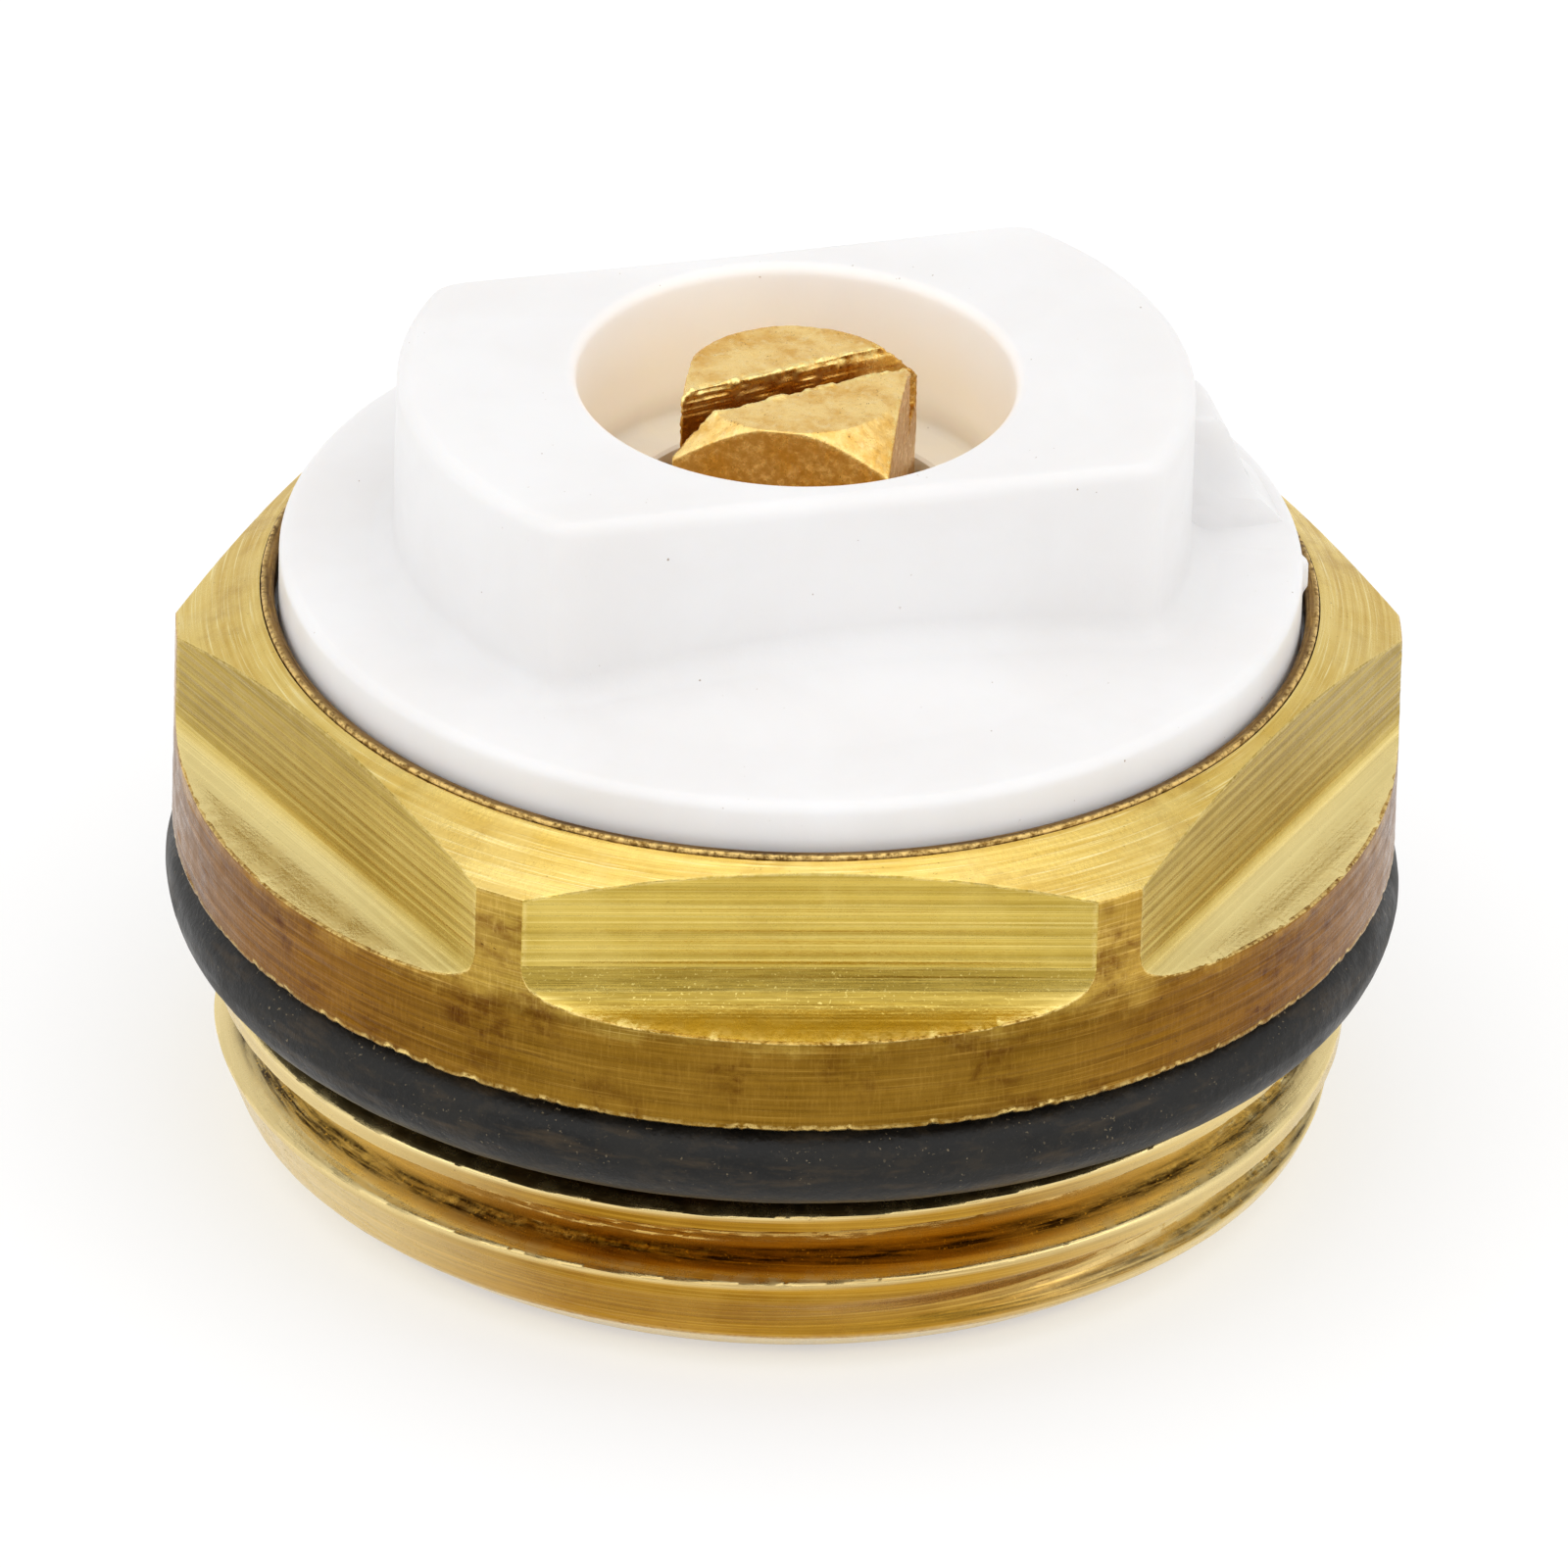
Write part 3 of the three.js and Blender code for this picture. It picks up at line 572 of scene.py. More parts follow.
def plug_columns():
    """Azimuths with a column on both sides of every edge between flat and land."""
    out, off = [], []
    for i in range(6):
        c = HEX_TURN - 90 + 60 * i
        for lo, hi, n, flat in ((-HALF_FLAT, HALF_FLAT, 146, True), (HALF_FLAT, 60 - HALF_FLAT, 14, False)):
            e = 0.16
            inner = np.linspace(lo + e, hi - e, n - 1)
            a = np.concatenate([[lo], inner])
            out.append(c + a)
            off.append(a if flat else np.full(n, HALF_FLAT))
    return np.concatenate(out) * DEG, np.concatenate(off) * DEG


def thread_r(th, z):
    """Radius of the pipe thread and of the taper that leads it in."""
    env = np.interp(z, [0.0, 0.03, 1.08, 2.7, 5.78, 5.9, 6.15], [14.5, 14.56, 15.97, 16.6, 16.6245, 16.55, 16.22])
    env = env + 0.0 * th
    phi = np.degrees(th) + 90.0
    phi = (phi + 180.0) % 360.0 - 180.0
    w = (z - (1.8455 + PITCH * phi / 360.0)) / PITCH
    k = np.round(w)
    dz = (w - k) * PITCH
    amp = np.where(k >= 1, 1.0, np.where(k == 0, smooth(-14, 74, phi), 0.0))
    cells = 300
    u = th / (2 * math.pi)
    # wander of the tool and torn metal in the root
    dz = dz + 0.035 * (noise2(u * 24, z * 0.5, 21, 24) - 0.5)
    v = 15.15 + 1.921 * (np.abs(dz) - 0.14)
    v = smax(v, 15.15 + 0 * v, 0.34)
    side = (w - k) < 0
    helix = z - PITCH * phi / 360.0
    torn = (noise2(u * 90, helix * 16, 22, 90) - 0.5)
    torn2 = (noise2(u * cells, helix * 26, 23, cells) - 0.5)
    rip = np.exp(-((v - 15.68) / 0.14) ** 2) * side * smooth(0.25, 0.6, noise2(u * 9, 0.4, 25, 9))
    lines = noise2(u * 7, helix * 13, 26, 7) - 0.5
    root = 1 - smooth(15.15, 15.6, v)
    v = v + rip * (0.20 * torn + 0.22 * torn2) + root * 0.06 * torn + 0.09 * lines * smooth(0.3, 0.7, noise2(u * 5, helix * 2, 27, 5)) + 0.014 * torn2
    r = smin(env, env + (v - env) * amp, 0.07)
    depth_shade = np.clip((env - r) / 1.3, 0, 1)
    r = r + 0.010 * (noise2(u * 60, z * 20, 24, 60) - 0.5)
    edge = np.clip(rip * (torn2 + 0.30) * 2.2, 0, 1) * amp
    # each upper flank: a painted reflection in a smooth bright outer band that runs on to the crest, painted shade in
    # the dark middle, an amber root with a faint painted reflection; a painted reflection of the floor on the bottom
    # chamfer
    flank = np.abs(dz)
    fine = noise2(u * 3, helix * 30, 28, 3)
    dark = smooth(15.38, 15.62, v) * smooth(16.18, 16.02, v) * side * amp * (0.45 + 0.9 * fine)
    painted_reflection = (0.80 * smooth(0.66, 0.76, flank) * smooth(1.12, 0.94, flank) * side * amp * (0.7 + 0.6 * fine)
            + 0.22 * smooth(15.5, 15.3, v) * amp
            + 0.45 * smooth(0.75, 0.35, z) * smooth(0.05, 0.25, z))
    return r, np.clip(dark, 0, 1), edge, np.clip(painted_reflection, 0, 1)


def make_plug():
    th, off = plug_columns()
    s = Shell()
    u = th / (2 * math.pi)
    on_flat = np.abs(off) < HALF_FLAT * DEG - 1e-6
    nt = 120
    ths = (np.arange(nt) / nt) * 2 * math.pi + th[0]
    inner, thread, collar, flats, cone = 4, 3, 2, 1, 0

    # water side: vent hole, roof and wall of the hollow
    s.ring(ths, 1.25, 6.32, inner)
    s.ring(ths, 1.37, 6.2, inner)
    s.ring(th, 11.9, 6.2, inner)
    for a in np.linspace(0, 90, 5):
        s.ring(th, 12.0 + 0.6 * math.sin(a * DEG), 5.6 + 0.6 * math.cos(a * DEG), inner)
    for z in np.linspace(5.2, 0.3, 14):
        s.ring(th, 12.6 + 0.012 * (noise2(u * 40, z * 6, 31, 40) - 0.5), z, inner)
    s.ring(th, 12.6, 0.14, inner, wear=0.6)
    s.ring(th, 12.74, 0.0, inner, wear=0.6)
    for r in np.linspace(12.9, 14.35, 8):
        s.ring(th, r, 0.0 + 0.008 * noise2(u * 50, r * 9, 32, 50), inner)
    burr = 0.05 * spikes(th, 33, 240, threshold=0.45)
    s.ring(th, 14.44, 0.0, inner, wear=0.8)
    s.ring(th, 14.52, 0.012, thread, wear=0.7)

    # thread
    for z in np.concatenate([np.linspace(0.05, 1.0, 17), np.arange(1.04, 6.11, 0.05), [6.15]]):
        zz = np.full(len(th), z)
        r, depth_shade, edge, painted_reflection = thread_r(th, zz)
        chip = 0.05 * spikes(th + z * 0.4, 34, 200, z * 3.1, 0.62) * (z > 1.0)
        first = np.exp(-((z - 1.06) / 0.10) ** 2)
        r = r - chip * 0.6 - 0.03 * first + burr * (z < 0.2) * 0.3
        # painted shade in the groove and a painted reflection of the floor across the bottom chamfer
        s.ring(th, r, zz, thread, wear=np.clip(edge + 0.35 * first, 0, 1), depth_shade=depth_shade,
               painted_reflection=np.clip(painted_reflection + 0.9 * (z < 1.02), 0, 1))
    last, _, _, _ = thread_r(th, np.full(len(th), 6.15))
    # painted shade in the relief groove under the collar
    for r, z in ((16.0, 6.17), (15.6, 6.20), (15.3, 6.24), (15.17, 6.33)):
        s.ring(th, np.minimum(last - 0.002, r), z, thread, depth_shade=0.7)
    for z in np.linspace(6.45, 8.95, 12):
        s.ring(th, 15.15 + 0.012 * noise2(u * 50, z * 8, 35, 50), z, thread, depth_shade=0.8)
    s.ring(th, 15.2, 9.1, thread, depth_shade=0.8)
    s.ring(th, 15.33, 9.18, collar)
    for r in (16.0, 16.8, 17.4, 17.7):
        s.ring(th, r, 9.18 + 0.01 * noise2(u * 60, r * 9, 36, 60), collar)

    # collar: land under the flats, with a ragged bottom edge
    bite = 0.16 * spikes(th, 41, 420, threshold=0.46, power=1.2) + 0.12 * spikes(th, 42, 130, threshold=0.58) \
        + 0.02 * noise2(u * 240, 3.0, 43, 240)
    bright = np.clip(0.15 + 0.9 * bite / 0.10, 0, 1)
    s.ring(th, 17.80 - 0.3 * bite, 9.185 + 0.2 * bite, collar, wear=0.3 * bright)
    s.ring(th, 17.88 - 0.45 * bite, 9.21 + 0.5 * bite, collar, wear=0.7 * bright)
    s.ring(th, 17.935 - 0.25 * bite, 9.27 + bite, collar, wear=bright)
    s.ring(th, 17.94 - 0.12 * bite, 9.33 + 1.1 * bite, collar, wear=bright)
    zb = 9.37 + 1.15 * bite
    x_at = np.minimum(COLLAR_R * np.cos(off), 18.0)
    z_low = np.interp(-x_at, -RUN_X, RUN_Z)
    z_low = np.minimum(z_low, 13.50)
    z_low = z_low - 0.05 * spikes(th, 44, 300, threshold=0.55) * on_flat
    n_a = 58
    for q in range(n_a + 1):
        f = q / n_a
        z = zb + (z_low - 0.05 - zb) * f
        r = COLLAR_R - 0.014 * noise2(u * 36, z * 9, 45, 36) - 0.010 * noise2(u * 240, z * 22, 46, 240)
        scratch = 0.035 * np.clip(noise2(u * 70, z * 3.2, 47, 70) - 0.78, 0, 1) / 0.22
        w = (0.6 * bright if q == 0 else 0.0)
        s.ring(th, r - scratch, z, collar, wear=w)
    s.ring(th, COLLAR_R - 0.02, z_low - 0.012, collar, wear=0.8 * on_flat)

    # run-out of the cutter at the foot of each flat
    n_b = 16
    for q in range(n_b + 1):
        f = q / n_b
        z = z_low + 0.016 + (13.55 - z_low - 0.016) * f
        r = np.interp(z, RUN_Z, RUN_X) / np.cos(off)
        r = np.minimum(r, COLLAR_R - 0.012)
        groove = 0.030 * (noise2(u * 10, z * 7.5, 48, 10) - 0.5) * smooth(0, 0.15, f)
        r = np.where(on_flat, r + groove, COLLAR_R - 0.010 * noise2(u * 36, z * 9, 45, 36))
        # a darker band over the run-out, strongest on the front flats, fed into depth_shade
        runout_dark = 0.9 * smooth(0.0, 0.2, f) * smooth(13.5, 5.0, np.abs(r * np.cos(th))) * on_flat
        s.ring(th, r, z, flats, wear=(0.5 if q == 0 else 0.0) * on_flat, depth_shade=runout_dark)

    # milled flats and the lands between them
    r_edge = np.minimum(FLAT / np.cos(off), COLLAR_R)
    z_top = 15.74 + (COLLAR_R - r_edge) * (1.14 / 2.44)
    n_c = 88
    for q in range(1, n_c + 1):
        f = q / n_c
        z = 13.55 + (z_top - 0.03 - 13.55) * f
        along = off * FLAT
        ph = z + 0.012 * np.sin(along * 0.5)
        scal = -0.016 * np.abs(np.sin(math.pi * ph / 0.345)) - 0.008 * noise2(u * 12, z * 24, 49, 12)
        scal = scal - 0.014 * (noise2(0 * u + 3.3, z * 6.0, 50) - 0.5)
        r = np.where(on_flat, r_edge + scal, COLLAR_R - 0.010 * noise2(u * 36, z * 9, 45, 36)
                     - 0.008 * noise2(u * 240, z * 22, 46, 240))
        top = 1.0 if q >= n_c - 1 else 0.0
        corner = (np.abs(np.abs(off) - HALF_FLAT * DEG) < 0.0031) & on_flat
        s.ring(th, np.minimum(r, COLLAR_R - 0.018 * corner), z, flats, wear=np.maximum(0.25 * top, 0.30 * corner))

    # conical top
    nick = 0.05 * spikes(th, 51, 260, threshold=0.6)
    r_start = r_edge - 0.035
    n_d = 26
    for q in range(n_d + 1):
        f = q / n_d
        r = r_start + (15.53 - r_start) * f
        z = 16.88 - (r - 15.5) * (1.14 / 2.44) - 0.006 * noise2(u * 8, r * 16, 52, 8)
        z = z - (nick * 0.5 if q == 0 else 0)
        s.ring(th, r, z, cone, wear=0.35 if q < 1 else 0.0)
    s.ring(th, 15.50, 16.865, cone, wear=0.7)
    s.ring(th, 15.49, 16.83, inner)
    for r, z in ((15.49, 15.32), (15.46, 15.3), (14.64, 15.3), (14.6, 15.26), (14.6, 13.5), (14.6, 10.44),
                 (14.56, 10.4), (13.24, 10.4), (13.2, 10.36), (13.2, 9.1), (13.1, 9.0)):
        s.ring(th, r, z, inner)

    # boss, bore, tapped hole and seat
    s.ring(ths, 5.75, 9.0, inner)
    for r, z in ((5.6, 9.15), (5.6, 12.0), (5.6, 18.3), (5.3, 18.6), (4.5, 18.6), (4.3, 18.4), (4.3, 14.0)):
        s.ring(ths, r, z, inner)
    for z in np.arange(13.7, 8.36, -0.085):
        phi = ths + math.pi / 2
        w = (z - 11.0) / 1.0 - phi / (2 * math.pi)
        d = np.abs(w - np.round(w)) * 1.0
        r = 3.48 + 0.56 * (1 - smooth(0.08, 0.44, d)) * smooth(8.3, 8.9, z)
        s.ring(ths, np.minimum(r, 4.2), z, inner)
    for r, z in ((3.48, 8.33), (3.44, 8.3), (1.95, 8.3), (1.88, 8.26), (1.25, 7.65)):
        s.ring(ths, r, z, inner)
    ob = s.build("plug_shell", [CONE, FLATS, COLLAR, THREAD, INNER], sharp=38)

    # lands between the flats take the collar's finish
    me = ob.data
    n = len(me.polygons)
    idx = np.zeros(n, dtype=np.int32)
    me.polygons.foreach_get("material_index", idx)
    cen = np.zeros(n * 3, dtype=np.float32)
    me.polygons.foreach_get("center", cen)
    cen = cen.reshape(-1, 3)
    ang = np.degrees(np.arctan2(cen[:, 1], cen[:, 0])) - (HEX_TURN - 90)
    ang = (ang + 30) % 60 - 30
    idx[(idx == flats) & (np.abs(ang) > HALF_FLAT)] = collar
    me.polygons.foreach_set("material_index", idx)

    # cross hole through the boss wall, where the air leaves
    bm = bmesh.new()
    bmesh.ops.create_cone(bm, cap_ends=True, segments=24, radius1=0.8 * MM, radius2=0.8 * MM, depth=4 * MM)
    bm.transform(Matrix.Rotation(40 * DEG, 4, "Z") @ Matrix.Translation((5.2 * MM, 0, 14.6 * MM)) @ Matrix.Rotation(90 * DEG, 4, "Y"))
    carve(ob, [cutter("cross_hole", bm)])
    shade(ob.data, 38)
    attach(ob, "plug")
    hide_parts("plug_body")
    return ob


# ---------------------------------------------------------------------------
# Seals and retaining ring
# ---------------------------------------------------------------------------

def torus(name, r0, z0, sec, around, across, seed, body, node, rough=0.0):
    th = np.arange(around) / around * 2 * math.pi
    u = th / (2 * math.pi)
    s = Shell()
    for k in range(across):
        a = -2 * math.pi * k / across + math.pi
        # section runs down the inside and up the outside
        a = math.pi + 2 * math.pi * k / across
        d = sec
        if rough:
            d = sec + rough * (noise2(u * 60, k * 0.35, seed, 60) - 0.5) + rough * 0.6 * (noise2(u * 300, k * 0.9, seed + 1, 300) - 0.5)
            flash = 0.03 * math.exp(-((math.degrees(a - 2 * math.pi)) / 5.0) ** 2)
            d = d + flash * (0.5 + 0.5 * noise2(u * 90, 0.3, seed + 2, 90)) - 0.02
        s.ring(th, r0 + d * math.cos(a), z0 + d * math.sin(a), 0)
    ob = s.build(name, [RUBBER], sharp=0)
    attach(ob, body)
    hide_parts(node)
    return ob


def make_ring():
    n = 720
    th = np.arange(n) / n * 2 * math.pi
    u = th / (2 * math.pi)
    burr = 0.05 * spikes(th, 61, 320, threshold=0.42) + 0.02 * noise2(u * 90, 1.0, 62, 90)
    wob = 0.02 * (noise2(u * 14, 2.0, 63, 14) - 0.5)
    s = Shell()
    s.ring(th, 15.12, 15.95, 0)
    s.ring(th, 15.42, 15.95, 0)
    s.ring(th, 15.46, 15.99, 0)
    s.ring(th, 15.46, 16.5, 0)
    s.ring(th, 15.46, 16.84 + wob, 0, wear=0.5)
    s.ring(th, 15.455 + 0.4 * burr, 16.93 + wob + 0.6 * burr, 0, wear=1.0)
    s.ring(th, 15.42 + 0.2 * burr, 16.97 + wob + burr, 0, wear=1.0)
    s.ring(th, 15.37, 16.985 + wob + 0.4 * burr, 0, wear=0.5)
    s.ring(th, 15.30, 16.98 + wob, 0, wear=0.1)
    s.ring(th, 15.20, 16.97 + wob, 0)
    s.ring(th, 15.12, 16.94 + wob, 0, wear=0.2)
    s.ring(th, 15.08, 16.88 + wob, 0)
    s.ring(th, 15.08, 16.4, 0)
    s.ring(th, 15.08, 15.99, 0)
    ob = s.build("lock_ring", [RING], sharp=50)
    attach(ob, "plug")
    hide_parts("cap_retaining_ring")
    return ob


# ---------------------------------------------------------------------------
# Swivel cap
# ---------------------------------------------------------------------------

def grip_r(ps):
    """Plan outline of the grip: round ends, two flats, eased corners."""
    s = np.abs(np.sin(ps))
    flat = 7.45 / np.clip(s, 1e-3, None)
    return smin(np.full_like(ps, 11.64), np.minimum(flat, 40.0), 0.55)


SPOUT_Z = np.array([17.0, 18.44, 19.3, 20.1, 21.6, 21.95, 22.05, 22.12])
SPOUT_U = np.array([14.45, 14.45, 13.75, 13.35, 12.75, 12.45, 12.05, 11.2])


def wall_r(ps, z):
    """Outline of the grip with the spout at height z."""
    g = grip_r(ps)
    c = np.cos(ps)
    v = np.sin(ps) * g
    spout = np.interp(z, SPOUT_Z, SPOUT_U) / np.clip(c, 0.2, None)
    half = 1.3 + 0.10 * smooth(20, 18.6, z)
    side = (1 - smooth(half - 0.16, half + 0.14, np.abs(np.sin(ps) * 12.6))) * (c > 0)
    return g + np.clip(spout - g, 0, None) * side


def disc_z(r):
    return np.where(r > 11.64, 18.42 + (14.95 - r) * 0.009, 18.45 + (11.64 - r) / (11.64 - 7.45) * 0.75)


def make_cap():
    n = 960
    ps = np.arange(n) / n * 2 * math.pi
    u = ps / (2 * math.pi)
    s = Shell()
    for r, z in ((11.9, 10.85), (11.95, 10.8), (14.2, 10.8), (14.45, 11.05), (14.45, 12.15), (14.4, 12.2),
                 (12.95, 12.2), (12.9, 12.25), (12.9, 14.05), (12.95, 14.1), (14.4, 14.1), (14.45, 14.15),
                 (14.45, 15.34), (14.48, 15.38), (15.32, 15.38), (15.36, 15.42), (15.36, 15.79), (15.32, 15.83),
                 (14.98, 15.83), (14.95, 15.87)):
        s.ring(ps, r, z, 0)
    # disc rim, with the stub of the moulding gate
    az = (np.degrees(ps) + 15.1 + 180) % 360 - 180
    nib = np.exp(-((az - 2.4) / 0.55) ** 4)
    for z in np.linspace(16.1, 18.02, 14):
        w = 0.006 * (noise2(u * 24, z * 2, 71, 24) - 0.5)
        s.ring(ps, 14.95 + w + 0.17 * nib * smooth(17.0, 17.3, z), z, 0)
    for a in np.linspace(8, 90, 9):
        rr = 0.34
        s.ring(ps, 14.95 - rr * (1 - math.cos(a * DEG)) + 0.17 * nib * max(0.0, 1 - a / 45), 18.06 + 0.36 * math.sin(a * DEG), 0)
    # disc top, rising to the flats of the grip, and the fillet at its foot
    g0 = wall_r(ps, np.full(n, 18.6))
    fil = np.minimum(0.85, (14.58 - g0) * 0.55)
    fil = np.clip(fil, 0.04, None)
    foot = g0 + fil
    for q in range(1, 31):
        f = (q / 30) ** 0.9
        r = 14.58 + (foot - 14.58) * f
        line = 0.018 * np.exp(-((az - 2.4) / 0.35) ** 2)
        s.ring(ps, r, disc_z(r) + 0.012 * (noise2(u * 9, r * 0.6, 72, 9) - 0.5) + line, 0)
    zf = disc_z(foot)
    for a in np.linspace(9, 90, 10):
        c1, s1 = math.cos(a * DEG), math.sin(a * DEG)
        z = np.maximum(zf, disc_z(foot - fil * s1)) * (1 - 0.0) + fil * (1 - c1) * 0.9
        s.ring(ps, foot - fil * s1 - (g0 - wall_r(ps, z)) * s1, z, 0)
    z0 = disc_z(g0) + fil * 0.9
    edge = 0.46
    z1 = 24.25 - edge
    # side walls, drawn in a little towards the top, faintly hollow on the flats
    rows = 66
    for q in range(1, rows + 1):
        f = q / rows
        z = z0 + (z1 - z0) * f
        sink = 0.05 * np.sin(math.pi * f) * smooth(0.75, 0.97, np.abs(np.sin(ps)))
        wob = 0.012 * (noise2(u * 16, z * 0.7, 73, 16) - 0.5)
        s.ring(ps, wall_r(ps, z) - sink + wob, z, 0)
    g = grip_r(ps)
    land = g - edge - 6.78
    e = np.minimum(edge, edge + np.minimum(0, land - 0.06))
    for a in np.linspace(10, 90, 9):
        s.ring(ps, g - e * (1 - math.cos(a * DEG)), z1 + edge * math.sin(a * DEG), 0)
    r0 = g - e
    for q in range(1, 13):
        f = q / 12
        r = r0 + (6.76 - r0) * f
        s.ring(ps, r, 24.25 - 0.035 * np.sin(math.pi * f) * smooth(0.5, 3.0, r0 - 6.7) - 0.006 * noise2(u * 12, r, 74, 12), 0)
    for a in np.linspace(10, 90, 9):
        s.ring(ps, 6.76 - 0.36 * math.sin(a * DEG), 24.25 - 0.36 * (1 - math.cos(a * DEG)), 0)
    for z in np.linspace(23.7, 19.95, 30):
        s.ring(ps, 6.4 - 0.012 * noise2(u * 30, z * 1.5, 75, 30), z, 0)
    for a in np.linspace(15, 90, 6):
        s.ring(ps, 6.4 - 0.25 * (1 - math.cos(a * DEG)), 19.95 - 0.25 * math.sin(a * DEG), 0)
    for r, z in ((5.9, 19.7), (5.4, 19.7), (5.0, 19.7), (4.9, 19.62), (4.9, 18.95), (4.93, 18.9), (5.7, 18.9),
                 (5.75, 18.85), (5.75, 17.4), (5.8, 17.35), (6.95, 17.35), (7.0, 17.3), (7.0, 15.95), (6.95, 15.9),
                 (5.8, 15.9), (5.75, 15.85), (5.75, 15.45), (5.8, 15.4), (11.8, 15.4), (11.9, 15.3), (11.9, 13.0)):
        s.ring(ps, r, z, 0)
    turn = 15.1 * DEG
    ob = s.build("cap_shell", [PLASTIC], sharp=0, turn=turn)

    # cored pockets inside the grip's ends, and the discharge hole in the spout
    tools = []
    a0, a1 = math.asin(5.6 / 10.3), math.asin(5.6 / 7.9)
    ring = [(10.3 * math.cos(t), 10.3 * math.sin(t)) for t in np.linspace(-a0, a0, 25)]
    ring += [(7.9 * math.cos(t), 7.9 * math.sin(t)) for t in np.linspace(a1, -a1, 25)]
    for extra in (0, math.pi):
        tools.append(cutter("pocket", prism(ring, 15.0, 22.6, turn + extra)))
    bm = bmesh.new()
    bmesh.ops.create_cone(bm, cap_ends=True, segments=40, radius1=0.8 * MM, radius2=0.8 * MM, depth=6 * MM)
    bm.transform(Matrix.Rotation(turn, 4, "Z") @ Matrix.Translation((12.2 * MM, 0, 20.3 * MM)) @ Matrix.Rotation(98 * DEG, 4, "Y"))
    tools.append(cutter("outlet", bm))
    carve(ob, tools)
    shade(ob.data, 38)
    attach(ob, "swivel")
    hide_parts("swivel_cap")
    return ob


# ---------------------------------------------------------------------------
# Vent screw
# ---------------------------------------------------------------------------

def make_screw_head():
    half, top, bottom = 3.175, 24.05, 19.28
    turn = -7.0 * DEG
    # turned blank: cone on top, then milled square, then slotted
    s = Shell()
    n = 192
    th = np.arange(n) / n * 2 * math.pi
    for r, z in ((0.6, bottom), (4.6, bottom), (4.6, 22.65), (3.2, top), (0.6, top)):
        s.ring(th, r, z, 0)
    ob = s.build("screw_head", [SCREW], closed=False, sharp=0, cap_ends=True)
    sq = [(-half, -half), (half, -half), (half, half), (-half, half)]
    carve(ob, [cutter("square", prism(sq, bottom - 1, top + 1, turn))], "INTERSECT")
    slot = [(-8, -0.65), (8, -0.65), (8, 0.65), (-8, 0.65)]
    carve(ob, [cutter("slot", prism(slot, top - 2.1, top + 1, 28 * DEG))])
    m = ob.modifiers.new("grid", "REMESH")
    m.mode = "VOXEL"
    m.voxel_size = 0.055 * MM
    me = applied(ob)
    nv = len(me.vertices)
    co = np.zeros(nv * 3, dtype=np.float32)
    me.vertices.foreach_get("co", co)
    p = co.reshape(-1, 3).astype(float) / MM
    no = np.zeros(nv * 3, dtype=np.float32)
    me.vertices.foreach_get("normal", no)
    no = no.reshape(-1, 3).astype(float)
    c, sn = math.cos(28 * DEG), math.sin(28 * DEG)
    along = p[:, 0] * c + p[:, 1] * sn
    across = -p[:, 0] * sn + p[:, 1] * c
    # saw marks in the slot, torn lips, hammered faces
    in_slot = (np.abs(across) < 0.72) & (p[:, 2] > top - 2.25)
    lip = np.exp(-((np.abs(across) - 0.68) / 0.16) ** 2) * smooth(top - 0.5, top - 0.1, p[:, 2])
    d = 0.05 * (noise3(p * 0.8, 81) - 0.5) + 0.018 * (noise3(p * 3.0, 82) - 0.5) + 0.012 * (noise3(p * 9.0, 83) - 0.5)
    ridge = noise3(np.stack([along * 1.4, across * 2.0 + p[:, 2] * 9.0, p[:, 2] * 0.3], 1) + 40, 84) - 0.5
    d = d + np.where(in_slot, 0.10 * ridge, 0.0)
    q = noise3(np.stack([along * 5.0, across * 2.5, p[:, 2] * 2.5], 1) + 20, 85)
    d = d + lip * (0.16 * (q - 0.45))
    p = p + no * d[:, None]
    me.vertices.foreach_set("co", (p * MM).astype(np.float32).ravel())
    # bright edges where the head is handled
    lx = p[:, 0] * math.cos(-turn) - p[:, 1] * math.sin(-turn)
    ly = p[:, 0] * math.sin(-turn) + p[:, 1] * math.cos(-turn)
    ex = half - np.abs(lx)
    ey = half - np.abs(ly)
    vertical = np.exp(-((np.maximum(ex, ey)) / 0.12) ** 2)
    rad = np.hypot(p[:, 0], p[:, 1])
    cone_gap = np.abs(p[:, 2] - (top - (rad - 3.2)))
    arris = np.exp(-(cone_gap / 0.09) ** 2) * (np.minimum(ex, ey) < 0.12)
    wear = np.clip(0.35 * vertical + 0.35 * arris + 1.0 * lip, 0, 1)
    # painted shade: darker down into the slot and on faces that do not face up
    depth_shade = np.where(in_slot, smooth(top - 0.15, top - 1.2, p[:, 2]), 0.0)
    facing_up = smooth(0.25, 0.5, no[:, 2])
    depth_shade = np.maximum(depth_shade, np.where(in_slot, 0.0, 0.85 * (1 - facing_up)))
    for label, data in (("wear", wear), ("depth_shade", depth_shade)):
        at = me.attributes.new(label, "FLOAT", "POINT")
        at.data.foreach_set("value", data.astype(np.float32))
    me.materials.clear()
    me.materials.append(SCREW)
    shade(me, 0)
    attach(ob, "screw")
    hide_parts("vent_screw")
    return ob


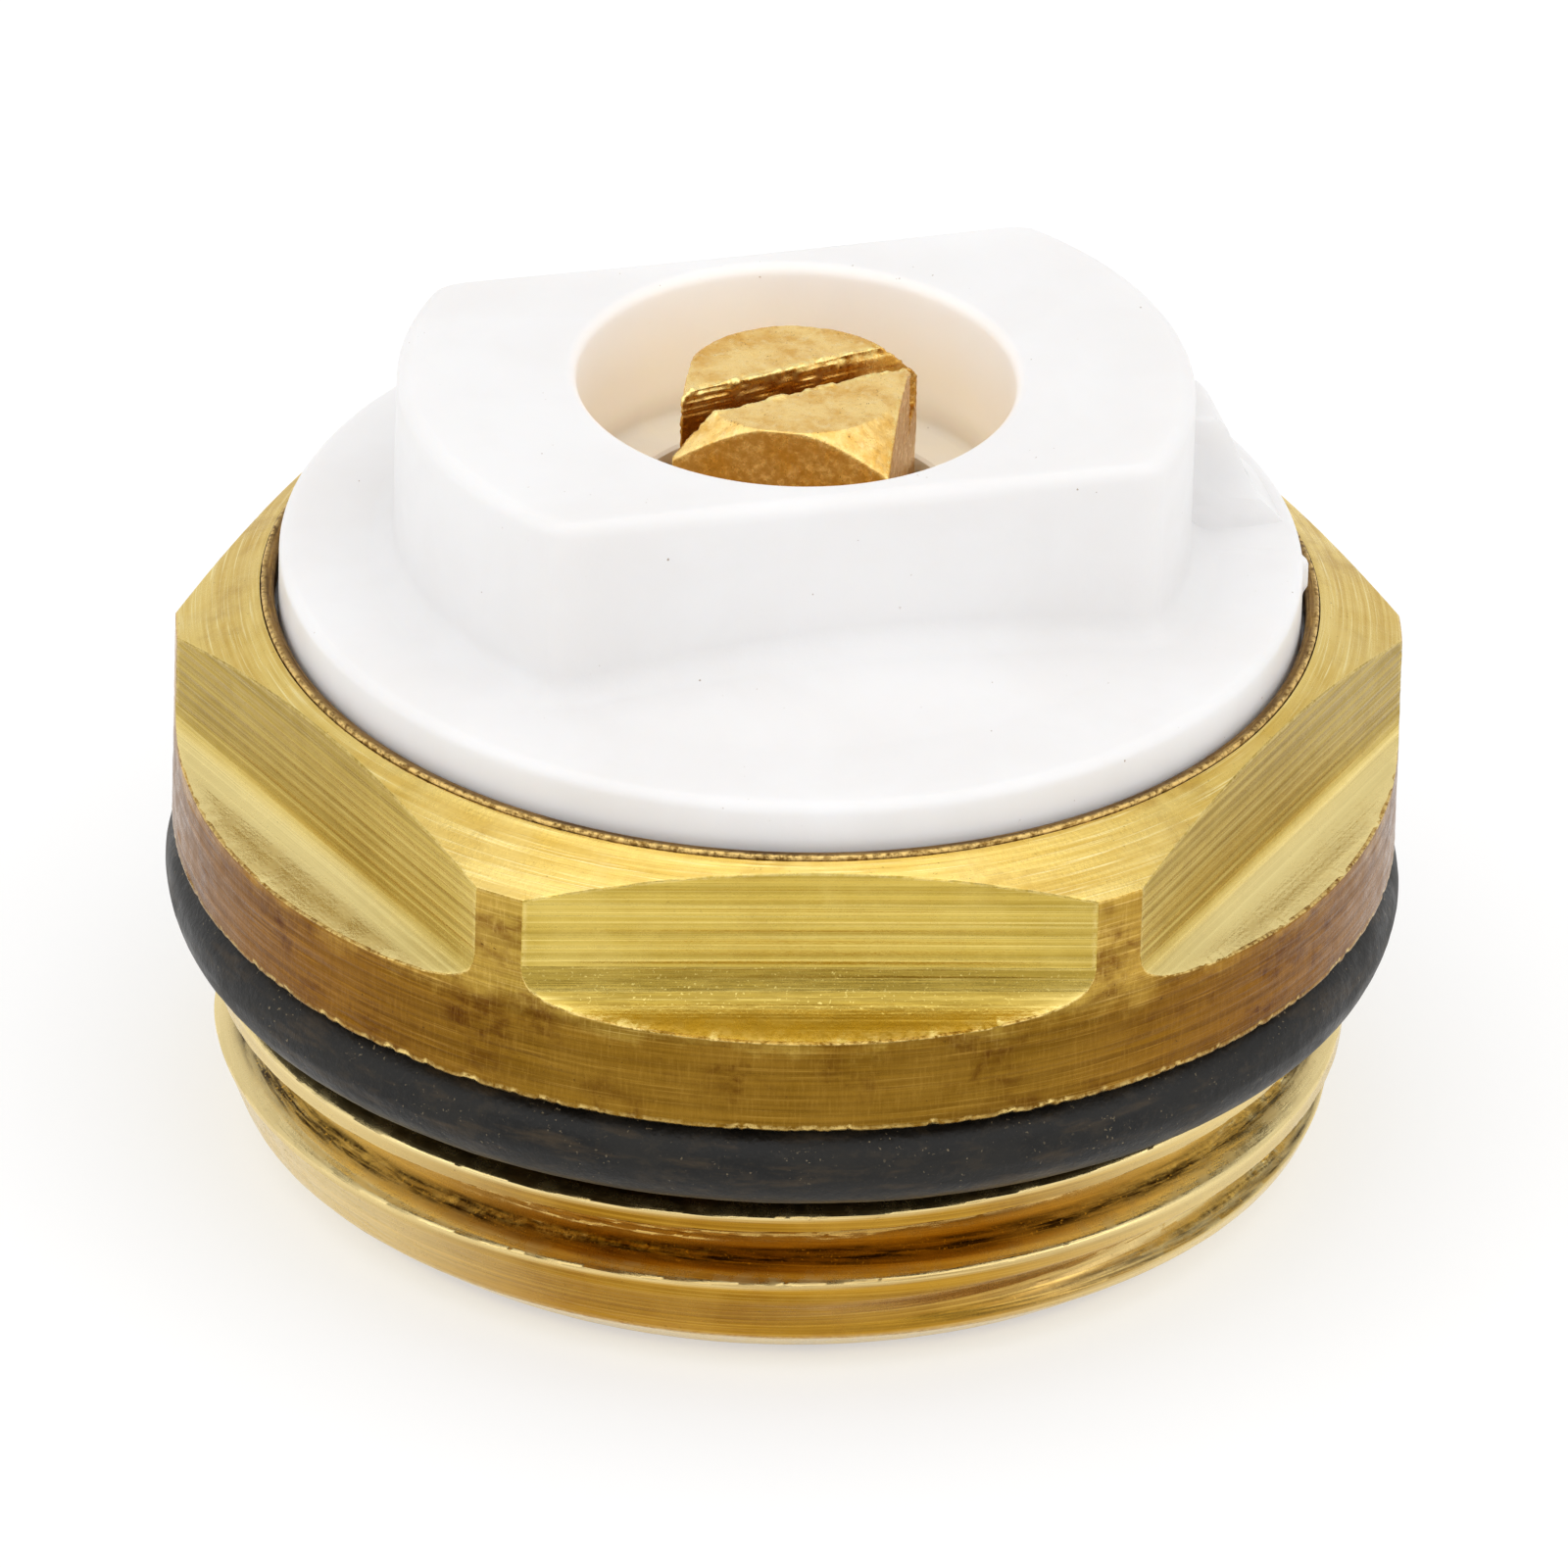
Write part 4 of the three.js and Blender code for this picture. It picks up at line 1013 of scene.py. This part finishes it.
def make_screw_shank():
    n = 180
    th = np.arange(n) / n * 2 * math.pi
    s = Shell()
    apex = 8.3 - 1.9 + 0.07
    s.ring(th, 0.5, apex + 0.58, 0)
    s.ring(th, 0.62, apex + 0.62, 0)
    for r in np.linspace(0.8, 2.7, 12):
        s.ring(th, r, apex + r, 0)
    for r, z in ((3.0, 9.22), (3.3, 9.38)):
        s.ring(th, r, z, 0)
    for z in np.arange(9.44, 13.58, 0.06):
        phi = th + math.pi / 2
        w = (z - 11.0) - phi / (2 * math.pi)
        d = np.abs(w - np.round(w))
        r = 3.36 + 0.56 * (1 - smooth(0.07, 0.40, d)) * smooth(9.4, 9.9, z) * smooth(13.6, 13.1, z)
        # painted shade in the thread roots
        s.ring(th, r, z, 0, depth_shade=1 - smooth(3.4, 3.8, r), wear=smooth(3.75, 3.9, r) * 0.6)
    for r, z in ((3.36, 13.62), (2.95, 13.87), (2.9, 13.95), (2.9, 15.18), (2.98, 15.22), (4.05, 15.3), (4.1, 15.35),
                 (4.1, 15.57), (4.07, 15.6), (3.03, 15.6), (3.0, 15.63), (3.0, 16.97), (3.03, 17.0), (4.07, 17.0),
                 (4.1, 17.03), (4.1, 18.2), (4.1, 19.2), (4.0, 19.3), (2.0, 19.3)):
        s.ring(th, r, z, 0)
    ob = s.build("screw_shank", [SCREW], closed=False, sharp=40, cap_ends=True)
    box = [(2.75, -4), (5, -4), (5, 4), (2.75, 4)]
    carve(ob, [cutter("flat", prism(box, 8.9, 15.0))])
    shade(ob.data, 40)
    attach(ob, "screw")
    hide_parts("vent_screw")
    return ob


make_plug()
torus("port_seal", 16.7, 7.71, 1.4, 720, 72, 91, "plug", "body_o_ring", rough=0.02)
make_ring()
make_cap()
torus("skirt_seal", 13.75, 13.15, 0.81, 240, 36, 94, "swivel", "cap_outer_o_ring")
torus("hub_seal", 6.3, 16.62, 0.64, 180, 32, 96, "swivel", "cap_inner_o_ring")
torus("stem_seal", 3.64, 16.3, 0.58, 120, 32, 98, "screw_lift", "screw_o_ring")
make_screw_head()
make_screw_shank()


# ---------------------------------------------------------------------------
# Floor, light, camera
# ---------------------------------------------------------------------------

def floor():
    me = bpy.data.meshes.new("floor")
    w = 6.0
    me.from_pydata([(-w, -w, -0.0002), (w, -w, -0.0002), (w, w, -0.0002), (-w, w, -0.0002)], [], [(0, 1, 2, 3)])
    ob = bpy.data.objects.new("floor", me)
    bpy.context.collection.objects.link(ob)
    s = Shader("studio_floor")
    s.b.inputs["Base Color"].default_value = (0.50, 0.50, 0.50, 1)
    s.b.inputs["Emission Color"].default_value = (1, 1, 1, 1)
    s.b.inputs["Emission Strength"].default_value = 0.50
    s.b.inputs["Roughness"].default_value = 0.95
    s.b.inputs["Specular IOR Level"].default_value = 0.1
    me.materials.append(s.mat)


def area(name, loc, target, size, size_y, power, color=(1, 1, 1)):
    l = bpy.data.lights.new(name, "AREA")
    l.shape = "RECTANGLE"
    l.size, l.size_y = size, size_y
    l.energy = power
    l.color = color
    ob = bpy.data.objects.new(name, l)
    bpy.context.collection.objects.link(ob)
    ob.location = loc
    d = Vector(target) - Vector(loc)
    ob.rotation_euler = d.to_track_quat("-Z", "Y").to_euler()
    return ob


floor()


def studio_world():
    """A light room: bright overhead, pale in front, darker low down behind."""
    world = bpy.data.worlds.new("studio")
    bpy.context.scene.world = world
    world.use_nodes = True
    nt = world.node_tree
    tc = nt.nodes.new("ShaderNodeTexCoord")
    sp = nt.nodes.new("ShaderNodeSeparateXYZ")
    nt.links.new(tc.outputs["Generated"], sp.inputs[0])

    def step(src, a, b, lo, hi):
        n = nt.nodes.new("ShaderNodeMapRange")
        n.interpolation_type = "SMOOTHSTEP"
        if hasattr(src, "is_output"):
            nt.links.new(src, n.inputs["Value"])
        n.inputs["From Min"].default_value = a
        n.inputs["From Max"].default_value = b
        for key, v in (("To Min", lo), ("To Max", hi)):
            if hasattr(v, "is_output"):
                nt.links.new(v, n.inputs[key])
            else:
                n.inputs[key].default_value = v
        return n.outputs["Result"]

    low = step(sp.outputs[1], -0.80, -0.10, WORLD_FRONT, WORLD_BACK)
    high = step(sp.outputs[1], -0.50, 0.30, WORLD_FRONT_HIGH, WORLD_BACK_HIGH)
    mid = step(sp.outputs[2], 0.16, 0.42, low, high)
    top = step(sp.outputs[2], 0.80, 0.95, mid, WORLD_TOP)
    bg = nt.nodes["Background"]
    bg.inputs["Color"].default_value = (1, 1, 1, 1)
    nt.links.new(top, bg.inputs["Strength"])


WORLD_FRONT, WORLD_BACK, WORLD_FRONT_HIGH, WORLD_BACK_HIGH, WORLD_TOP = 0.50, 0.92, 1.38, 0.82, 1.5
studio_world()
area("left_box", (-0.50, -0.12, 0.22), (0, 0, 0.012), 0.26, 0.34, 0.10)
area("right_box", (0.50, -0.20, 0.24), (0, 0, 0.012), 0.22, 0.34, 0.14)

X = Vector((0.9995642838066415, 0.014840026454134386, 0.02551501818452042))
Y = Vector((-0.02951681363504812, 0.5020820561311521, 0.8643161265555264))
F = Vector((-1.584139051122869e-05, 0.8646926520596525, -0.5023013211440868))
cam = bpy.data.cameras.new("camera")
cam.sensor_width = 36.0
cam.lens = 729.244
cam.clip_start = 0.05
cam.clip_end = 30.0
co = bpy.data.objects.new("camera", cam)
bpy.context.collection.objects.link(co)
m = Matrix((X, Y, -F)).transposed().to_4x4()
m.translation = Vector((0.0, -0.8049781934457841, 0.4780376225602858))
co.matrix_world = m
bpy.context.scene.camera = co

bpy.context.scene.view_settings.view_transform = "Standard"
bpy.context.scene.view_settings.look = "None"
bpy.context.scene.view_settings.exposure = 0.0
